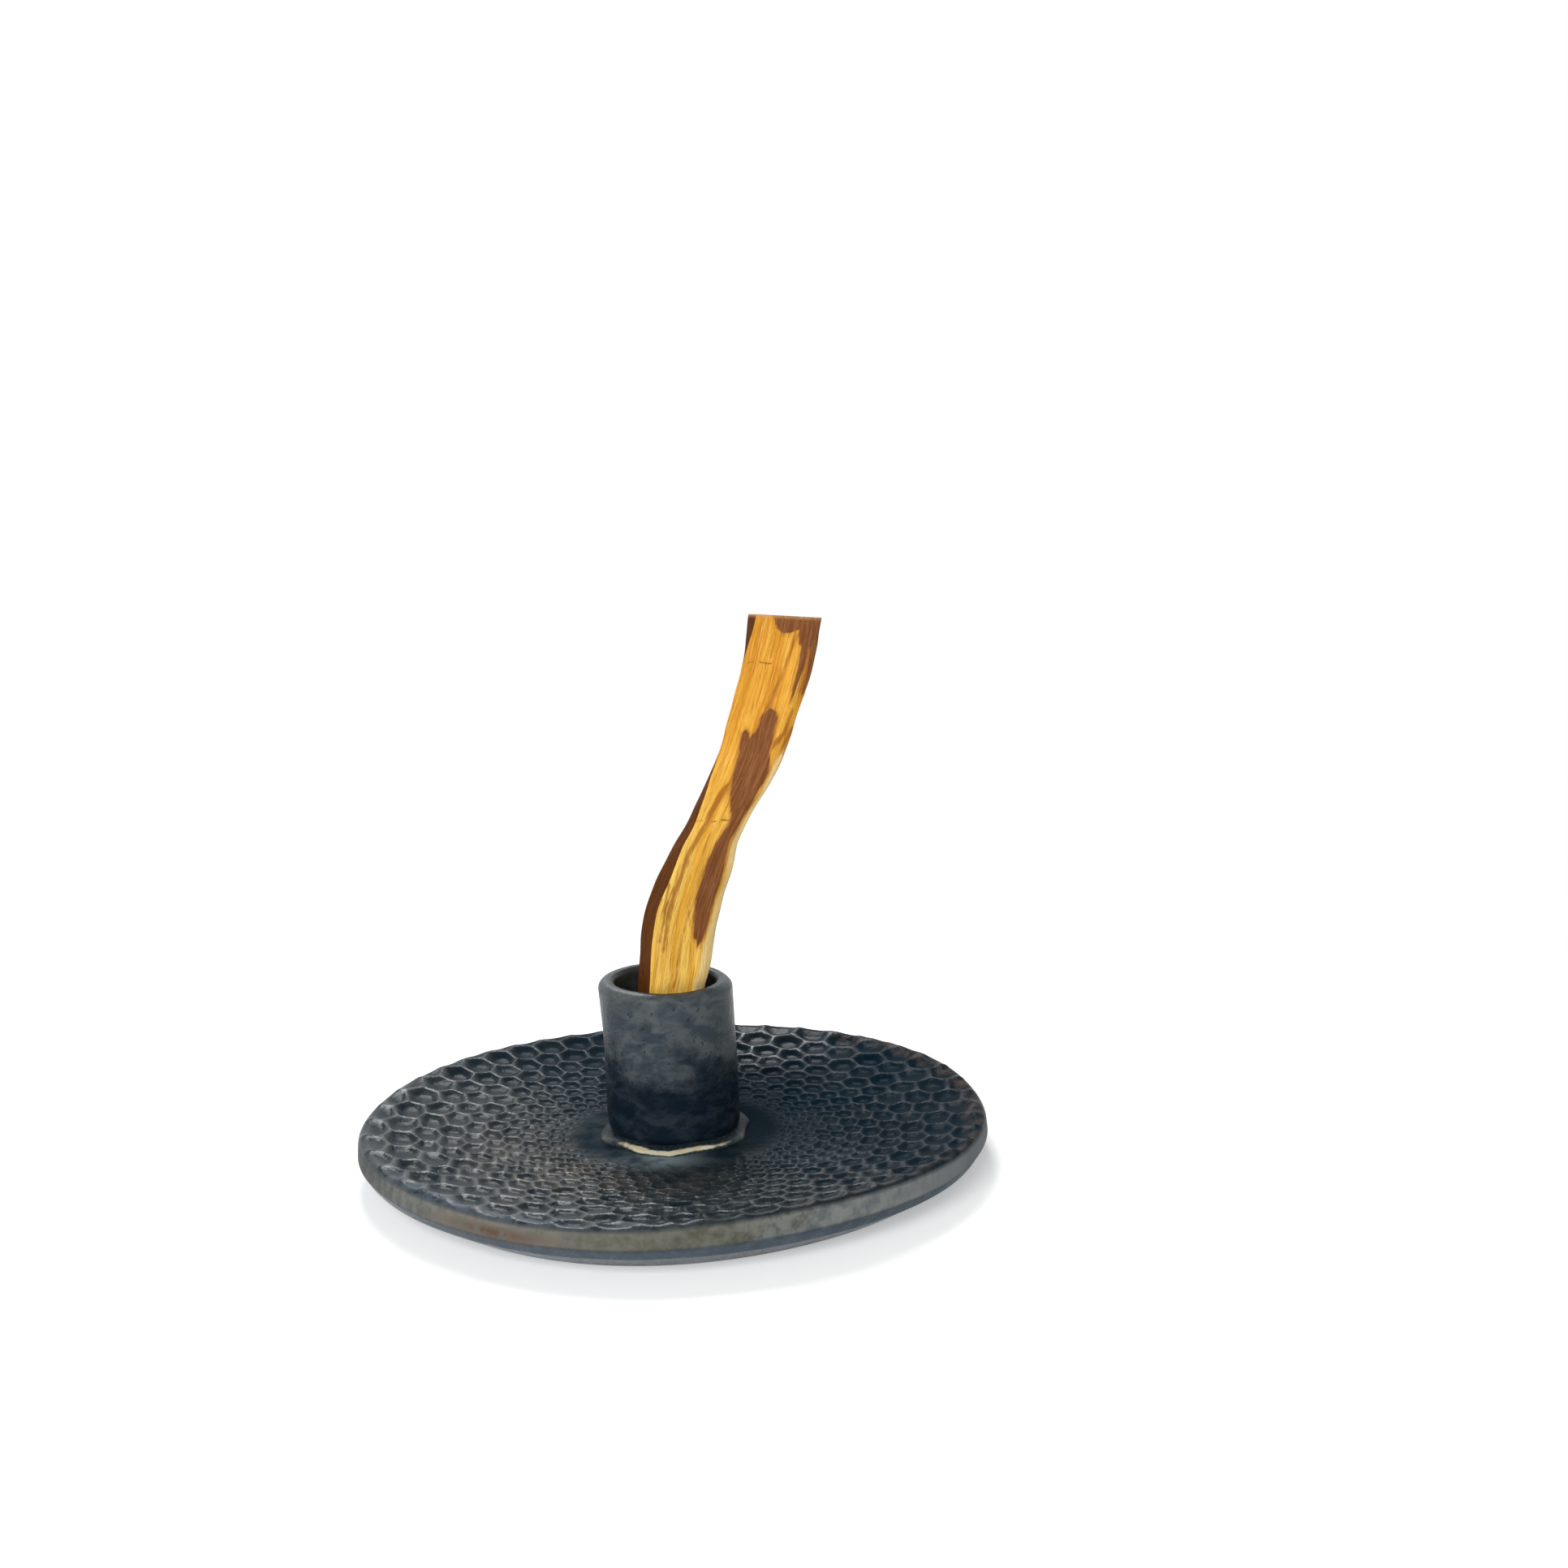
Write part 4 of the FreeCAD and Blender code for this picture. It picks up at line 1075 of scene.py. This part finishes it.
def make_floor():
    """Pale near the object, where it keeps the shadow, and plain white to the eye further out."""
    half = FLOOR_SIZE / 2
    corners = [(-half, -half, 0), (half, -half, 0), (half, half, 0), (-half, half, 0)]
    mesh = bpy.data.meshes.new("floor")
    mesh.from_pydata(corners, [], [(0, 1, 2, 3)])
    material = bpy.data.materials.new("floor_look")
    nodes = Nodes(material)
    nodes.tree.nodes.clear()
    seen = seen_share(nodes)
    paper = nodes.add("ShaderNodeBsdfDiffuse", {"Color": FLOOR_COLOUR})
    strength = nodes.product(seen, FLOOR_LIFT)
    lift = nodes.add("ShaderNodeEmission", {"Color": WHITE, "Strength": strength})
    near = nodes.add("ShaderNodeAddShader", {0: paper.outputs[0], 1: lift.outputs[0]})
    white = nodes.add("ShaderNodeEmission", {"Color": WHITE})
    place = nodes.add("ShaderNodeTexCoord").outputs["Object"]
    distance = nodes.add("ShaderNodeVectorMath", {0: place}, operation="LENGTH").outputs["Value"]
    share = nodes.product(seen, nodes.span(distance, *FLOOR_FADE))
    mix = nodes.add("ShaderNodeMixShader", {"Fac": share, 1: near.outputs[0], 2: white.outputs[0]})
    nodes.add("ShaderNodeOutputMaterial", {"Surface": mix.outputs[0]})
    mesh.materials.append(material)
    floor = bpy.data.objects.new("floor", mesh)
    bpy.context.scene.collection.objects.link(floor)


def make_world():
    """White all round for what the camera and the gloss see, and dimmer overhead."""
    world = bpy.data.worlds.new("studio")
    nodes = Nodes(world)
    inputs = {"Value": seen_share(nodes), "To Min": WORLD_LIGHT, "To Max": 1.0}
    level = nodes.add("ShaderNodeMapRange", inputs).outputs["Result"]
    direction = nodes.add("ShaderNodeTexCoord").outputs["Generated"]
    height = nodes.add("ShaderNodeSeparateXYZ", {"Vector": direction}).outputs["Z"]
    overhead = nodes.span(height, *CEILING_SPAN, 1.0, CEILING_LIGHT)
    background = nodes.tree.nodes["Background"]
    background.inputs["Color"].default_value = WHITE
    nodes.feed(background.inputs["Strength"], nodes.product(level, overhead))
    bpy.context.scene.world = world


def make_lamp(name, place, width, power):
    """A square soft box that faces the middle of the object."""
    light = bpy.data.lights.new(name, "AREA")
    light.shape = "SQUARE"
    light.size = width
    light.energy = power
    lamp = bpy.data.objects.new(name, light)
    lamp.location = place
    lamp.rotation_euler = (LAMP_TARGET - Vector(place)).to_track_quat("-Z", "Y").to_euler()
    bpy.context.scene.collection.objects.link(lamp)


def make_camera():
    data = bpy.data.cameras.new("camera")
    data.sensor_width = SENSOR
    data.lens = SENSOR * FOCAL_PIXELS / PHOTO_WIDTH
    data.clip_start = CLIP_START
    camera = bpy.data.objects.new("camera", data)
    level = Matrix.Rotation(-YAW, 4, "Z") @ Matrix.Rotation(math.pi / 2 - PITCH, 4, "X")
    camera.matrix_world = Matrix.Translation(EYE * MM) @ level @ Matrix.Rotation(ROLL, 4, "Z")
    bpy.context.scene.collection.objects.link(camera)
    bpy.context.scene.camera = camera


dress(make_dish(dish_glaze()), "burner", "dish")
dress(make_cup(cup_glaze()), "burner", "holder_cup")
dress(make_bead(slip_glaze()), "burner", "slip_bead")
dress(make_stick(stick_wood()), "stick", "palo_santo_stick")
make_floor()
make_world()
for lamp in LAMPS:
    make_lamp(*lamp)
make_camera()
bpy.context.scene.view_settings.view_transform = "Standard"
